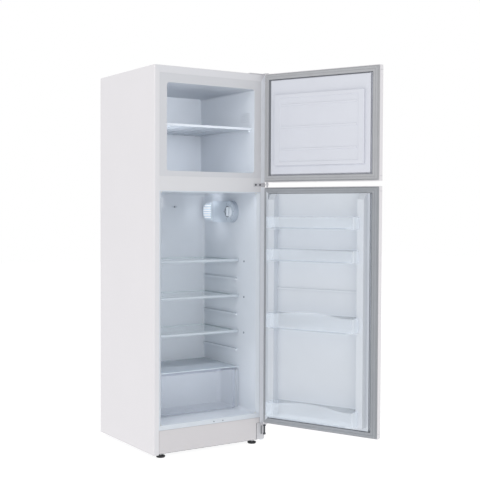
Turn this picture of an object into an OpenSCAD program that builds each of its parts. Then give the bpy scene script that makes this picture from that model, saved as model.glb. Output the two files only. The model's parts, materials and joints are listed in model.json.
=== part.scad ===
/* [Cabinet] */
// Width of the steel cabinet and of both doors
cab_w = 550; // [480:1:620]
// Depth of the cabinet without its doors
cab_d = 518; // [440:1:600]
// Height of the cabinet above its feet
cab_h = 1606; // [1300:1:1800]
// Gap under the cabinet, filled by the feet and rollers
foot_h = 16; // [12:1:30]
// Thickness of the outer steel sheet
sheet = 0.8; // [0.5:0.1:1.5]
// Thickness of the plastic liners
liner_t = 2; // [1.2:0.1:3]
// Radius on the cabinet's upright front edges
edge_r = 6; // [2:0.5:12]
// Width of the steel face beside each compartment
face_w = 24; // [18:1:35]
// Height of the steel face over the freezer
face_top = 30; // [20:1:50]

/* [Freezer compartment] */
// Clear width of the freezer compartment
fz_w = 432; // [360:1:500]
// Floor of the freezer compartment above the ground
fz_z0 = 1191; // [1000:1:1300]
// Thickness of the roof over the freezer compartment
roof_t = 68; // [40:1:90]
// Clear depth of the freezer compartment
fz_depth = 456; // [350:1:500]
// Height of the freezer shelf as a share of the compartment's height
fz_shelf_up = 0.52; // [0.3:0.01:0.7]
// Set-back of the freezer shelf behind the cabinet's face
fz_shelf_in = 22; // [10:1:60]

/* [Fridge compartment] */
// Clear width between the fridge compartment's side walls
fr_w = 472; // [400:1:520]
// Clear width of the fridge compartment's mouth
fr_mouth_w = 494; // [420:1:530]
// Depth over which the mouth narrows to the side walls
fr_mouth_d = 12; // [5:1:30]
// Floor of the fridge compartment above the ground
fr_z0 = 136; // [100:1:200]
// Ceiling of the fridge compartment above the ground
fr_z1 = 1109; // [900:1:1250]
// Clear depth of the fridge compartment over the step
fr_depth = 454; // [350:1:500]
// Top of the compressor step above the ground
step_z = 322; // [250:1:400]
// Lowest shelf rib above the ground
rib_z = 404; // [350:1:500]
// Distance from one shelf rib to the next
rib_pitch = 80; // [50:1:120]
// Number of shelf ribs on each side wall
rib_n = 6; // [4:1:8]
// How far a rib stands out from its wall
rib_out = 9; // [5:0.5:15]
// Set-back of the shelves behind the cabinet's face
shelf_in = 148; // [120:1:200]
// Depth of the glass shelves
shelf_d = 294; // [200:1:320]
// Thickness of the glass
glass_t = 4; // [3:0.5:6]
// Which ribs carry the three shelves, counted from the lowest
shelf_ribs = [1, 3, 5]; // lowest to highest shelf

/* [Crisper] */
// Set-back of the crisper's front behind the cabinet's face
crisper_in = 141; // [120:1:200]
// Height of the crisper drawer
crisper_h = 174; // [120:1:220]
// Width of the crisper drawer
crisper_w = 460; // [380:1:490]
// Wall thickness of the crisper drawer
crisper_t = 2.4; // [1.5:0.1:4]
// Radius on the crisper drawer's upright edges
crisper_r = 26; // [8:1:40]

/* [Doors] */
// Angle at which both doors stand open
door_open = 113.4; // [0:0.1:130]
// Thickness of a door from its inner face to its outer face
door_t = 46; // [35:1:70]
// Thickness of the door gasket, which is the gap behind a closed door
gasket_t = 13; // [9:0.5:18]
// Width of the door gasket
gasket_w = 26; // [20:1:40]
// Radius on the doors' upright outer edges
door_r = 26; // [4:1:40]
// Underside of the fridge door above the ground
frd_z0 = 96; // [60:1:150]
// Top of the fridge door above the ground
frd_z1 = 1129.5; // [1000:0.5:1250]
// Underside of the freezer door above the ground
fzd_z0 = 1151; // [1010:1:1300]
// How far the freezer door's top lies below the cabinet's top
fzd_drop = 2; // [1:0.5:10]
// Distance of the hinge pins from the cabinet's side
pin_in = 7; // [6:0.5:25]
// Distance of the hinge pins in front of the cabinet's face
pin_out = 25; // [20:0.5:40]
// Radius of the hinge pins
pin_r = 3.5; // [3:0.1:5]
// Inset of the moulded plateau on a door's inner face
plateau_in = 38; // [30:1:60]
// Height of that plateau
plateau_t = 10; // [5:1:12]

/* [Door bins] */
// Depth of the door bins
bin_d = 90; // [70:1:120]
// Underside of each bin above the ground, lowest first
bin_z = [150, 530, 816, 953]; // four bins
// Height of each bin's front wall at its ends
bin_h = [62, 62, 50, 50]; // four bins
// Extra height of each front wall at its middle
bin_arch = [16, 16, 0, 0]; // four bins
// How far each bin's front half reaches over the moulded side walls of the door
bin_ear = 12; // [0:1:20]
// Wall thickness of the bins
bin_t = 2.2; // [1.5:0.1:3.5]

/* [Control housing] */
// Distance of the control housing's centre below the mullion
ctl_drop = 86; // [60:1:160]
// Height of the control housing, which is round at its front end
ctl_h = 98; // [60:1:120]
// Distance of its front end behind the cabinet's face
ctl_in = 154; // [100:1:220]
// Length of the control housing
ctl_len = 272; // [180:1:300]
// How far it stands out from the side wall
ctl_out = 22; // [15:1:50]
// Radius of the thermostat knob
knob_r = 26; // [18:1:35]
// Length of the lamp cover at the housing's rear end
lamp_len = 78; // [50:1:120]

/* [Machine compartment] */
// Depth of the compressor's compartment
bay_d = 169; // [140:1:220]
// Thickness of the insulation over and in front of the compressor
step_foam = 46; // [30:1:60]
// Radius of the compressor's shell from front to back
comp_r = 62; // [50:1:80]
// Radius of the rollers under the rear edge
roller_r = 15; // [10:1:25]
// Radius of the refrigerant pipes
pipe_r = 3.2; // [2.5:0.1:5]

/* [Hidden] */
fy = -cab_d/2;              // plane of the cabinet's face
by = cab_d/2;               // plane of the cabinet's back
z0 = foot_h;                // underside of the cabinet
z1 = foot_h + cab_h;        // top of the cabinet
wx = cab_w/2;
pan_y = fy - gasket_t;      // inner face of a closed door
out_y = pan_y - door_t;     // outer face of a closed door
px = wx - pin_in;           // hinge pin
py = fy - pin_out;
fit = 0.05;                 // radial clearance of a running fit
seat = 0.3;                 // clearance round soft and curved seats
fz_x = fz_w/2;
fz_z1 = z1 - roof_t;
fz_shelf_z = fz_z0 + fz_shelf_up*(fz_z1 - fz_z0);
fzd_z1 = z1 - fzd_drop;
fr_x = fr_w/2;
frm_x = fr_mouth_w/2;
fz_by = fy + fz_depth;
fr_by = fy + fr_depth;
ch_y = by - bay_d;                  // front wall of the machine compartment
step_y = ch_y - step_foam;
ch_z = step_z - step_foam;          // roof of the machine compartment
win_x = wx - face_w;                // edge of the steel face
win_z = z1 - face_top;
mull_z0 = fr_z1;
mull_z1 = fz_z0 - 22;
sill_z = fr_z0 - 19;
flange_y = fy + sheet;              // front of the liner flanges, behind the steel face
shelf_y = fy + shelf_in;
kick_x1 = win_x - 17;
ctl_x = fr_x - ctl_out;
ctl_z = fr_z1 - ctl_drop;
ctl_y0 = fy + ctl_in;
ctl_r = ctl_h/2;
dyke_in = plateau_in + 10;          // moulded side walls on the fridge door
dyke_w = 30;
dyke_t = 45;
dyke_slope = 26;
bin_gap = 1;
bin_x = wx - dyke_in - dyke_w - bin_gap;
bin_y0 = pan_y + 10;                // back wall of the bins, with the door closed
fzd_in = 62;                        // raised panel on the freezer door
fzd_rim = 30;
fzd_t = 21;
fzd_dish = 3;                       // depth of the dish in it
tab_z = (frd_z1 + fzd_z0)/2;        // middle hinge tab
gasket_in = 6;
comp_x = 20;
comp_y = ch_y + bay_d/2 - 4;
comp_h = 128;
foot_x = wx - 47;
foot_r = 19;
foot_y = fy + 28;
roller_x = wx - 40;
roller_y = by - 38;
drier_x = -wx + 125;
drier_z = z0 + 104;         // lower end of the drier's body
gland_x = wx - 95;
grip_x0 = -wx + 25;         // finger grips at the doors' free edges
grip_x1 = -wx + 145;
coil_y = by - 59;           // condenser tubes behind the side walls
coil_z0 = step_z + 38;
coil_z1 = z1 - 92;
coil_n = 8;
coil_pitch = 2*(coil_y - 25)/(coil_n - 1);
sensor_x = 75;
sensor_z = fr_z1 - 65;
ledge_z = (bin_z[1] + bin_z[2])/2 + 17;
$fn = 64;

// ---- small helpers ----
module box(lo, hi) { translate(lo) cube(hi - lo); }

// a box whose four edges along Y are rounded
module ybox(lo, hi, r) {
    translate([0, hi[1], 0]) rotate([90, 0, 0]) linear_extrude(hi[1] - lo[1]) {
        translate([lo[0] + r, lo[2]]) square([hi[0] - lo[0] - 2*r, hi[2] - lo[2]]);
        translate([lo[0], lo[2] + r]) square([hi[0] - lo[0], hi[2] - lo[2] - 2*r]);
        for (x = [lo[0] + r, hi[0] - r], z = [lo[2] + r, hi[2] - r]) translate([x, z]) circle(r);
    }
}

// a box whose four upright edges are rounded
module zbox(lo, hi, r) {
    translate([0, 0, lo[2]]) linear_extrude(hi[2] - lo[2]) {
        translate([lo[0] + r, lo[1]]) square([hi[0] - lo[0] - 2*r, hi[1] - lo[1]]);
        translate([lo[0], lo[1] + r]) square([hi[0] - lo[0], hi[1] - lo[1] - 2*r]);
        for (x = [lo[0] + r, hi[0] - r], y = [lo[1] + r, hi[1] - r]) translate([x, y]) circle(r);
    }
}

module xcyl(p, r, len) { translate(p) rotate([0, 90, 0]) cylinder(r = r, h = len); }
module ycyl(p, r, len) { translate(p) rotate([-90, 0, 0]) cylinder(r = r, h = len); }
module zcyl(p, r, len) { translate(p) cylinder(r = r, h = len); }

// everything on a door is drawn with the door closed, then swung open
module swung() {
    translate([px, py, 0]) rotate([0, 0, door_open]) translate([-px, -py, 0]) children();
}

// ---- cabinet shell ----
// plan of the cabinet, set in by i on its front and sides
module cab_plan(i, back = 0) {
    r = edge_r - i;
    translate([-wx + i + r, fy + i]) square([cab_w - 2*i - 2*r, cab_d - i + back]);
    translate([-wx + i, fy + i + r]) square([cab_w - 2*i, cab_d - i - r + back]);
    for (s = [-1, 1]) translate([s*(wx - i - r), fy + i + r]) circle(r);
}

module outer_wrapper() color("#e9e7ea") difference() {
    translate([0, 0, z0]) linear_extrude(cab_h) cab_plan(0);
    translate([0, 0, z0 - 1]) linear_extrude(cab_h + 1 - sheet) cab_plan(sheet, 5);
    box([-win_x, fy - 1, z0 - 1], [win_x, fy + edge_r, win_z]);
}

in_x = wx - sheet;
back_y = by - 3.2;
module back_panel() color("#dcdcdf") {
    box([-in_x, back_y, ch_z], [in_x, back_y + sheet, z1 - sheet]);
    for (x = [-150, 0, 150]) box([x - 20, back_y, ch_z + 70], [x + 20, back_y + 3, z1 - 90]);
}

floor_t = 1.2;
module base_pan() color("#5b5e62") difference() {
    union() {
        box([-in_x, fy + 14, z0], [in_x, by, z0 + floor_t]);
        box([-in_x, fy + 14, z0], [in_x, fy + 14 + floor_t, sill_z]);
        box([-in_x, by - floor_t, z0], [in_x, by, z0 + 34]);
        for (s = [-1, 1], d = [-1, 1])
            box([s*roller_x + d*12.5 - 1.5, roller_y - 16, roller_r - 8],
                [s*roller_x + d*12.5 + 1.5, roller_y + 16, z0 + 12]);
        for (s = [-1, 1]) zcyl([s*foot_x, foot_y, z0], 10, 12);
    }
    for (s = [-1, 1]) {
        zcyl([s*foot_x, foot_y, z0 - 1], 5 + fit, 20);
        box([s*roller_x - 11, roller_y - 18, z0 - 1], [s*roller_x + 11, roller_y + 18, z0 + 3]);
        xcyl([s*roller_x - 20, roller_y, roller_r], 4 + fit, 40);
    }
    ycyl([gland_x, by - 3, z0 + 20], 7, 5);
}

foam_z = fr_z0 - liner_t - 46;
module step_panel() color("#8d9094") {
    box([-in_x, fy + 14 + floor_t, foam_z - floor_t], [in_x, ch_y + floor_t, foam_z]);
    box([-in_x, ch_y, foam_z - floor_t], [in_x, ch_y + floor_t, ch_z]);
    box([-in_x, ch_y, ch_z - floor_t], [in_x, back_y, ch_z]);
}

// ---- liners ----
rim = 10;                 // how far a liner's flange reaches behind the steel face
module fz_tub(i, cut = 0)
    ybox([-fz_x - i, flange_y - cut, fz_z0 - i], [fz_x + i, fz_by + i, fz_z1 + i], 12 + i);
module fr_tub(i, cut = 0) difference() {
    ybox([-fr_x - i, flange_y - cut, fr_z0 - i], [fr_x + i, fr_by + i, fr_z1 - 4 + i], 12 + i);
    box([-wx, step_y + i, 0], [wx, by + 9, step_z - i]);
}
module fr_mouth(i, cut = 0) translate([0, 0, fr_z0 - i]) linear_extrude(fr_z1 - 4 - fr_z0 + 2*i)
    polygon([[-frm_x - i, flange_y - cut], [frm_x + i, flange_y - cut], [frm_x + i, flange_y],
        [fr_x + i, fy + fr_mouth_d], [-fr_x - i, fy + fr_mouth_d], [-frm_x - i, flange_y]]);

module freezer_liner() color("#dfe6ee") {
    difference() {
        union() {
            fz_tub(liner_t);
            box([-win_x - rim, flange_y, mull_z1], [win_x + rim, flange_y + liner_t, win_z + rim]);
        }
        fz_tub(0, 1);
    }
    for (s = [-1, 1]) translate([s*(fz_x - 3.5), 0, 0])
        box([-4.5, fy + 34, fz_shelf_z - 8], [4.5, fz_by - 12, fz_shelf_z]);
}

// a side rib with a rounded front end
module rib(z, y_from, y_to, h) for (s = [-1, 1]) translate([s*(fr_x - rib_out/2 + 0.5), 0, 0]) {
    box([-rib_out/2 - 0.5, y_from + h/2, z - h], [rib_out/2 + 0.5, y_to, z]);
    xcyl([-rib_out/2 - 0.5, y_from + h/2, z - h/2], h/2, rib_out + 1);
}

module fridge_liner() color("#d9e2ea") {
    difference() {
        union() {
            fr_tub(liner_t);
            fr_mouth(liner_t);
            box([-win_x - rim, flange_y, sill_z], [win_x + rim, flange_y + liner_t, mull_z0]);
        }
        fr_tub(0, 1);
        fr_mouth(0, 1);
    }
    for (i = [0 : rib_n - 1]) rib(rib_z + i*rib_pitch, shelf_y + 16, fr_by - 10, 11);
    rib(step_z, shelf_y + 4, step_y + 1, 5);
}

module cabinet_foam() color("#efe6c8") difference() {
    translate([0, 0, foam_z]) linear_extrude(z1 - sheet - foam_z) intersection() {
        cab_plan(sheet);
        translate([-wx, flange_y + liner_t]) square([cab_w, back_y - flange_y - liner_t]);
    }
    box([-wx, ch_y, 0], [wx, by + 1, ch_z]);
    box([-wx, fy - 1, 0], [wx, fy + 14 + floor_t, sill_z]);
    fz_tub(liner_t);
    ybox([-fz_x - 11, fy + 55, fz_z0 - 11], [fz_x + 11, fz_by - 12, fz_z1 + 11], 18);
    fr_tub(liner_t);
    fr_mouth(liner_t);
    box([-win_x, fy, mull_z0], [win_x, fy + 24, mull_z1]);
    for (s = [-1, 1]) translate([s*(in_x - 3.75), 0, 0])
        box([-3.75, -coil_y, coil_z0 - coil_pitch/2 - 17], [3.75, coil_y, coil_z1 + 44]);
    for (x = mid_screws) ycyl([x, fy, tab_z], 3, 30);
    box([-in_x, -coil_y - 3.4, coil_z1 + 36.6], [in_x, -coil_y + 3.4, coil_z1 + 43.4]);
}

module mullion_bar() color("#e4e4e7") difference() {
    box([-win_x, fy, mull_z0], [win_x, fy + 24, mull_z1]);
    box([-win_x - 1, fy + floor_t, mull_z0 + floor_t], [win_x + 1, fy + 30, mull_z1 - floor_t]);
    for (x = mid_screws) ycyl([x, fy - 1, tab_z], 2.5, 5);
}

module kick_plate() color("#dddcdf") difference() {
    box([-win_x + 1, fy, z0 + 5], [win_x - 1, fy + 14, sill_z - 0.5]);
    box([-win_x + 3, fy + liner_t, z0 + 7], [kick_x1 - 2, fy + 20, sill_z - 2.5]);
    box([kick_x1 - 3, fy + liner_t, frd_z0], [win_x - 3, fy + 20, sill_z - 2.5]);
    // notch for the bottom hinge
    box([kick_x1, fy - 1, z0], [win_x, fy + 20, frd_z0 - 2.5]);
}

// ---- hinges ----
mid_screws = [wx - 52, wx - 30];
hinge_low = frd_z0 - 7;     // underside of the bottom hinge's arm
hinge_slot = 38;            // length of the slot in its plate
module arm(z, t) {
    box([px - 14, py, z], [wx - 1, fy, z + t]);
    box([px - 14, py, z], [px, py + 4, z + t]);
    zcyl([px, py, z], pin_in - 1, t);
}

module top_hinge() color("#c9cacd") {
    arm(z1, 2.5);
    box([wx - 85, fy - 4, z1], [wx - 1, fy + 46, z1 + 2.5]);
    zcyl([px, py, fzd_z1 - 16], pin_r, z1 - fzd_z1 + 17);
    for (p = [[70, 34], [43, 12], [16, 34]]) zcyl([wx - p[0], fy + p[1], z1 + 2], 5.5, 2.6);
}

module middle_hinge() color("#b9bbbf") {
    difference() {
        box([wx - 62, fy - 2, tab_z - 8.5], [wx - 2, fy, tab_z + 8.5]);
        for (x = mid_screws) ycyl([x, fy - 3, tab_z], 2.5, 4);
    }
    arm(tab_z - 2, 4);
    zcyl([px, py, frd_z1 - 16], pin_r, fzd_z0 - frd_z1 + 32);
    zcyl([px, py, tab_z], pin_r + 1.6, fzd_z0 - tab_z - 0.1);
}

module screw_at(x) color("#3a3b3e") {
    ycyl([x, fy - 2, tab_z], 2.4, 14);
    difference() {
        ycyl([x, fy - 4, tab_z], 4.4, 2);
        for (a = [0, 90]) translate([x, fy - 4, tab_z]) rotate([0, a, 0])
            box([-3, -1, -0.5], [3, 0.8, 0.5]);
    }
}
module middle_hinge_screw_inner() screw_at(mid_screws[0]);
module middle_hinge_screw_outer() screw_at(mid_screws[1]);

module bottom_hinge() color("#6d7074") {
    difference() {
        box([kick_x1 + 0.5, fy - 2.5, z0 + 5], [wx - 1, fy, hinge_low + 4]);
        box([win_x + 4, fy - 4, hinge_low - 9 - hinge_slot], [win_x + 12, fy + 1, hinge_low - 9]);
    }
    arm(hinge_low, 4);
    // bolt that hangs under the arm
    translate([px - 5, py + 5, hinge_low]) {
        zcyl([0, 0, -7], 6.5, 7.5);
        zcyl([0, 0, -43], 4, 44);
        zcyl([0, 0, -45], 6, 7);
    }
    zcyl([px, py, hinge_low], pin_r, 23);
    zcyl([px, py, hinge_low + 3], pin_r + 1.6, 3.9);
}

// ---- feet and rollers ----
module front_foot(s) color("#1c1d1f") {
    zcyl([s*foot_x, foot_y, 0], foot_r - 1, 2);
    zcyl([s*foot_x, foot_y, 2], foot_r, 6);
    zcyl([s*foot_x, foot_y, 7], 5, z0 + 23);
}
module front_foot_left() front_foot(-1);
module front_foot_right() front_foot(1);

module rear_roller(s) color("#26272a") {
    xcyl([s*roller_x - 9, roller_y, roller_r], roller_r, 18);
    xcyl([s*roller_x - 17, roller_y, roller_r], 4, 34);
}
module rear_roller_left() rear_roller(-1);
module rear_roller_right() rear_roller(1);

// ---- refrigeration circuit ----
ev_c = liner_t + 4.2;     // from the compartment's wall to a tube's middle
module evaporator() color("#b8bcc0") {
    difference() {
        ybox([-fz_x - 3.2, fy + 60, fz_z0 - 3.2], [fz_x + 3.2, fz_by - 20, fz_z1 + 3.2], 15.2);
        ybox([-fz_x - liner_t, fy + 59, fz_z0 - liner_t], [fz_x + liner_t, fz_by, fz_z1 + liner_t], 14);
    }
    for (y = [fy + 85 : 55 : fz_by - 40]) {
        for (z = [fz_z0 - ev_c, fz_z1 + ev_c]) xcyl([-fz_x + 14, y, z], 4, fz_w - 28);
        for (x = [-fz_x - ev_c, fz_x + ev_c]) zcyl([x, y, fz_z0 + 14], 4, fz_z1 - fz_z0 - 28);
    }
}

// a tube bent through half a turn in the plane across the side wall
module u_bend(p, up) translate(p) rotate([up ? 90 : -90, 0, 90]) rotate_extrude(angle = 180)
    translate([coil_pitch/2, 0]) circle(pipe_r);

module condenser_coil() color("#7f8285") {
    cx = in_x - 3.75;
    y0 = 25 - coil_y;
    top = coil_z1 + 40;
    for (s = [-1, 1]) {
        for (i = [0 : coil_n - 1]) zcyl([s*cx, y0 + i*coil_pitch, coil_z0], pipe_r, coil_z1 - coil_z0);
        for (i = [0 : 2 : coil_n - 2]) u_bend([s*cx, y0 + (i + 0.5)*coil_pitch, coil_z0], false);
        for (i = [1 : 2 : coil_n - 3]) u_bend([s*cx, y0 + (i + 0.5)*coil_pitch, coil_z1], true);
        zcyl([s*cx, y0, coil_z1], pipe_r, 40);
        ycyl([s*cx, -coil_y, top], pipe_r, 25);
        translate([s*cx, y0, top]) sphere(pipe_r);
        translate([s*cx, -coil_y, top]) sphere(pipe_r);
    }
    xcyl([-cx, -coil_y, top], pipe_r, 2*cx);
}

plate_z = z0 + floor_t + 12;      // compressor's base plate
comp_top = plate_z + 3 + comp_h;
mount_xy = [[-74, -42], [74, -42], [-74, 42], [74, 42]];
stub_x = comp_x + 70;
stub_z = plate_z + 96;
module compressor() color("#222326") {
    difference() {
        box([comp_x - 86, comp_y - 54, plate_z], [comp_x + 86, comp_y + 54, plate_z + 3]);
        for (m = mount_xy) zcyl([comp_x + m[0], comp_y + m[1], plate_z - 1], 7, 5);
    }
    translate([comp_x, comp_y, plate_z + 3]) rotate_extrude() {
        square([comp_r - 22, comp_h]);
        square([comp_r, comp_h - 22]);
        translate([comp_r - 22, comp_h - 22]) circle(22);
    }
    zcyl([comp_x, comp_y, plate_z + 60], comp_r + 2.5, 6);
    box([comp_x - comp_r - 6, comp_y - 24, plate_z + 70], [comp_x, comp_y + 24, plate_z + 112 - 6]);
    for (d = [-18, 18]) xcyl([comp_x, comp_y + d, stub_z], 5, 70);
}

module mount_bush(i) color("#141414") {
    zcyl([comp_x + mount_xy[i][0], comp_y + mount_xy[i][1], z0 + floor_t], 10, 12);
    zcyl([comp_x + mount_xy[i][0], comp_y + mount_xy[i][1], z0 + floor_t], 7 - seat, 15);
    zcyl([comp_x + mount_xy[i][0], comp_y + mount_xy[i][1], plate_z + 3], 9.5, 3);
}
module compressor_mount_1() mount_bush(0);
module compressor_mount_2() mount_bush(1);
module compressor_mount_3() mount_bush(2);
module compressor_mount_4() mount_bush(3);

module relay_cover() color("#2c2d30") difference() {
    box([comp_x - comp_r - 34, comp_y - 26, plate_z + 66], [comp_x - comp_r - 6, comp_y + 26, plate_z + 110]);
    box([comp_x - comp_r - 32, comp_y - 24, plate_z + 68], [comp_x - comp_r - 5, comp_y + 24, plate_z + 108]);
}

// a pipe from a stub on the compressor out to x, then up into the insulation
module riser(d, x, r) color("#b5713c") {
    xcyl([stub_x, comp_y + d, stub_z], r, x - stub_x);
    translate([x, comp_y + d, stub_z]) sphere(r);
    zcyl([x, comp_y + d, stub_z], r, ch_z - floor_t - stub_z);
}
module suction_pipe() riser(18, comp_x + 110, 4);
module discharge_pipe() riser(-18, comp_x + 86, pipe_r);

// drier with its outlet pipe above and a capillary tube that loops up beside it
module filter_drier() color("#b5713c") {
    y = comp_y + 20;
    cap_x = drier_x - 13;
    cap_z = drier_z - 60;
    top = drier_z + 84;
    zcyl([drier_x, y, drier_z], 9.5, 84);
    translate([drier_x, y, top]) cylinder(r1 = 9.5, r2 = 3, h = 12);
    translate([drier_x, y, drier_z - 12]) cylinder(r1 = 3, r2 = 9.5, h = 12);
    zcyl([drier_x, y, top + 10], 3, ch_z - floor_t - top - 10);
    zcyl([drier_x, y, cap_z], 1.4, 50);
    translate([drier_x - 6.5, y, cap_z]) rotate([-90, 0, 0]) rotate_extrude(angle = 180)
        translate([6.5, 0]) circle(1.4);
    zcyl([cap_x, y, cap_z], 1.4, ch_z - floor_t - cap_z);
}

module drip_tray() color("#1f2022") difference() {
    x0 = comp_x - comp_r - 13;
    x1 = comp_x + comp_r - 7;
    d = comp_r - 6;
    zbox([x0, comp_y - d, comp_top], [x1, comp_y + d, comp_top + 30], 14);
    zbox([x0 + 2, comp_y - d + 2, comp_top + 2], [x1 - 2, comp_y + d - 2, comp_top + 31], 12);
}

module cord_gland() color("#151515") difference() {
    union() {
        ycyl([gland_x, by, z0 + 20], 10, 3);
        ycyl([gland_x, by - 8, z0 + 20], 7 - seat, 9);
        ycyl([gland_x, by - 8, z0 + 20], 9, 8 - floor_t);
    }
    ycyl([gland_x, by - 9, z0 + 20], 4.2, 14);
}

// ---- shelves ----
module freezer_shelf() color("#f4f5f7") {
    y0 = fy + fz_shelf_in;
    box([-fz_x + 1, y0, fz_shelf_z], [fz_x - 1, fz_by - 4, fz_shelf_z + 3]);
    box([-fz_x + 1, y0, fz_shelf_z - 1], [fz_x - 1, y0 + 6, fz_shelf_z + 9]);
    box([-fz_x + 1, fz_by - 8, fz_shelf_z], [fz_x - 1, fz_by - 4, fz_shelf_z + 14]);
    for (x = [-fz_x + 36 : 60 : fz_x - 36])
        box([x - 2, y0 + 4, fz_shelf_z - 2], [x + 2, fz_by - 10, fz_shelf_z + 1]);
}

function shelf_z(i) = rib_z + shelf_ribs[i]*rib_pitch;
shelf_x = fr_x - 3;
module shelf_glass(i) color("#dff0f2")
    box([-shelf_x, shelf_y + 3, shelf_z(i)], [shelf_x, shelf_y + shelf_d, shelf_z(i) + glass_t]);
module shelf_trim(i) color("#eef1f4") difference() {
    union() {
        box([-shelf_x, shelf_y + 2, shelf_z(i) - 5], [shelf_x, shelf_y + 13, shelf_z(i) + glass_t + 3]);
        box([-shelf_x, shelf_y, shelf_z(i) - 3], [shelf_x, shelf_y + 12, shelf_z(i) + glass_t + 1]);
    }
    box([-wx, shelf_y + 3, shelf_z(i)], [wx, shelf_y + 20, shelf_z(i) + glass_t]);
}
module shelf_glass_lower() shelf_glass(0);
module shelf_trim_lower() shelf_trim(0);
module shelf_glass_middle() shelf_glass(1);
module shelf_trim_middle() shelf_trim(1);
module shelf_glass_upper() shelf_glass(2);
module shelf_trim_upper() shelf_trim(2);

// ---- crisper ----
cr_y0 = fy + crisper_in;
cr_y1 = step_y - 7;
cr_z0 = fr_z0 + 3;
module crisper_cover() color("#d8ecef")
    box([-shelf_x, cr_y0 + 4, step_z], [shelf_x, fr_by - 6, step_z + glass_t]);

module crisper_drawer() color("#cfe0ea") difference() {
    x = crisper_w/2;
    union() {
        zbox([-x + 6, cr_y0 + 3, cr_z0], [x - 6, cr_y1, cr_z0 + crisper_h], crisper_r);
        box([-x, cr_y0, cr_z0 + 4], [x, cr_y0 + 5, cr_z0 + crisper_h]);
        box([-x, cr_y0, cr_z0 + crisper_h - 5], [x, cr_y0 + 14, cr_z0 + crisper_h]);
        box([-x + 1, cr_y0 + 2, cr_z0 + crisper_h - 4], [x - 1, cr_y1 + 4, cr_z0 + crisper_h]);
        for (s = [-1, 1]) box([s*(x - 24) - 3, cr_y0 + 8, fr_z0], [s*(x - 24) + 3, cr_y1 - 10, cr_z0 + 1]);
    }
    zbox([-x + 6 + crisper_t, cr_y0 + 5, cr_z0 + crisper_t],
        [x - 6 - crisper_t, cr_y1 - crisper_t, cr_z0 + crisper_h + 1], crisper_r - crisper_t);
    box([95 - x, cr_y0 - 1, cr_z0 + crisper_h - 26], [175 - x, cr_y0 + 2.4, cr_z0 + crisper_h - 10]);
}

// ---- control housing and lamp on the right-hand wall ----
lamp_y0 = ctl_y0 + ctl_len - lamp_len;
module ctl_plan(i) {
    translate([ctl_y0 + ctl_r, ctl_z]) circle(ctl_r - i);
    translate([ctl_y0 + ctl_r, ctl_z - ctl_r + i]) square([ctl_len - ctl_r - lamp_len - i, 2*ctl_r - 2*i]);
}
module on_wall(from, to) translate([from, 0, 0]) rotate([90, 0, 90]) linear_extrude(to - from) children();

knob_y = ctl_y0 + ctl_r;
module control_housing() color("#dfe6ec") difference() {
    union() {
        on_wall(ctl_x + 3, fr_x) ctl_plan(0);
        on_wall(ctl_x, fr_x) ctl_plan(3);
    }
    on_wall(ctl_x + 2.5, fr_x + 1) ctl_plan(5);
    xcyl([ctl_x - 1, knob_y, ctl_z], 5 + fit, 8);
    xcyl([ctl_x - 1, knob_y, ctl_z], knob_r + 2, 1.5);
}

module control_knob() color("#e8edf1") {
    difference() {
        union() {
            xcyl([ctl_x - 9, knob_y, ctl_z], knob_r - 5, 3);
            xcyl([ctl_x - 7, knob_y, ctl_z], knob_r, 7);
            box([ctl_x - 13, knob_y - 4, ctl_z - knob_r + 6], [ctl_x - 6, knob_y + 4, ctl_z + knob_r - 6]);
        }
        box([ctl_x - 13.5, knob_y - 0.8, ctl_z + 8], [ctl_x - 12.2, knob_y + 0.8, ctl_z + knob_r - 7]);
    }
    xcyl([ctl_x - 1, knob_y, ctl_z], 5, 16);
}

// lamp cover: a hollow cap, round at its rear end, with level louvre slots in its face
lamp_r = ctl_r - 8;
module lamp_plan(i) {
    end_y = lamp_y0 + lamp_len - lamp_r;
    intersection() {
        union() {
            translate([lamp_y0 + i, ctl_z - lamp_r + i]) square([lamp_len - lamp_r - i, 2*lamp_r - 2*i]);
            translate([end_y, ctl_z]) circle(lamp_r - i);
        }
        translate([lamp_y0 + i, ctl_z - lamp_r]) square([lamp_len, 2*lamp_r]);
    }
}
module lamp_cover() color("#f4f8fb") difference() {
    on_wall(ctl_x - 4, fr_x) lamp_plan(0);
    on_wall(ctl_x - 2, fr_x + 1) lamp_plan(2);
    intersection() {
        on_wall(ctl_x - 5, ctl_x - 1) lamp_plan(8);
        for (i = [0 : 5]) translate([0, 0, ctl_z - 30 + i*11])
            box([ctl_x - 5, lamp_y0, 0], [ctl_x - 1, lamp_y0 + lamp_len, 5]);
    }
}

// bulb on a round lampholder, with its axis across the cabinet
module lamp_bulb() color("#fff6dd")
    translate([fr_x, lamp_y0 + lamp_len/2, ctl_z]) rotate([0, -90, 0]) rotate_extrude() intersection() {
        union() {
            square([9, 6]);
            square([6, 12]);
            translate([0, 12]) circle(8);
        }
        square([20, 19.8]);
    }

// ---- door switch on the left-hand wall ----
sw_x = -fr_x + 15;
sw_z = 1060;
sw_tip = pan_y + dyke_t + 0.5;
module switch_housing() color("#e6eaee") difference() {
    box([-fr_x, sw_tip + 6.5, sw_z - 22], [-fr_x + 26, sw_tip + 46, sw_z + 22]);
    ycyl([sw_x, sw_tip + 5, sw_z], 4 + fit, 34);
}
module switch_plunger() color("#f2f2f2") {
    ycyl([sw_x, sw_tip, sw_z], 4, 28);
}

// clip that holds the thermostat's sensing tube on the rear wall
module sensor_clip() color("#7d868e") {
    box([sensor_x - 5, fr_by - 4, sensor_z - 5], [sensor_x + 5, fr_by, sensor_z + 5]);
    xcyl([sensor_x - 20, fr_by - 4, sensor_z], 1.5, 30);
}

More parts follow.
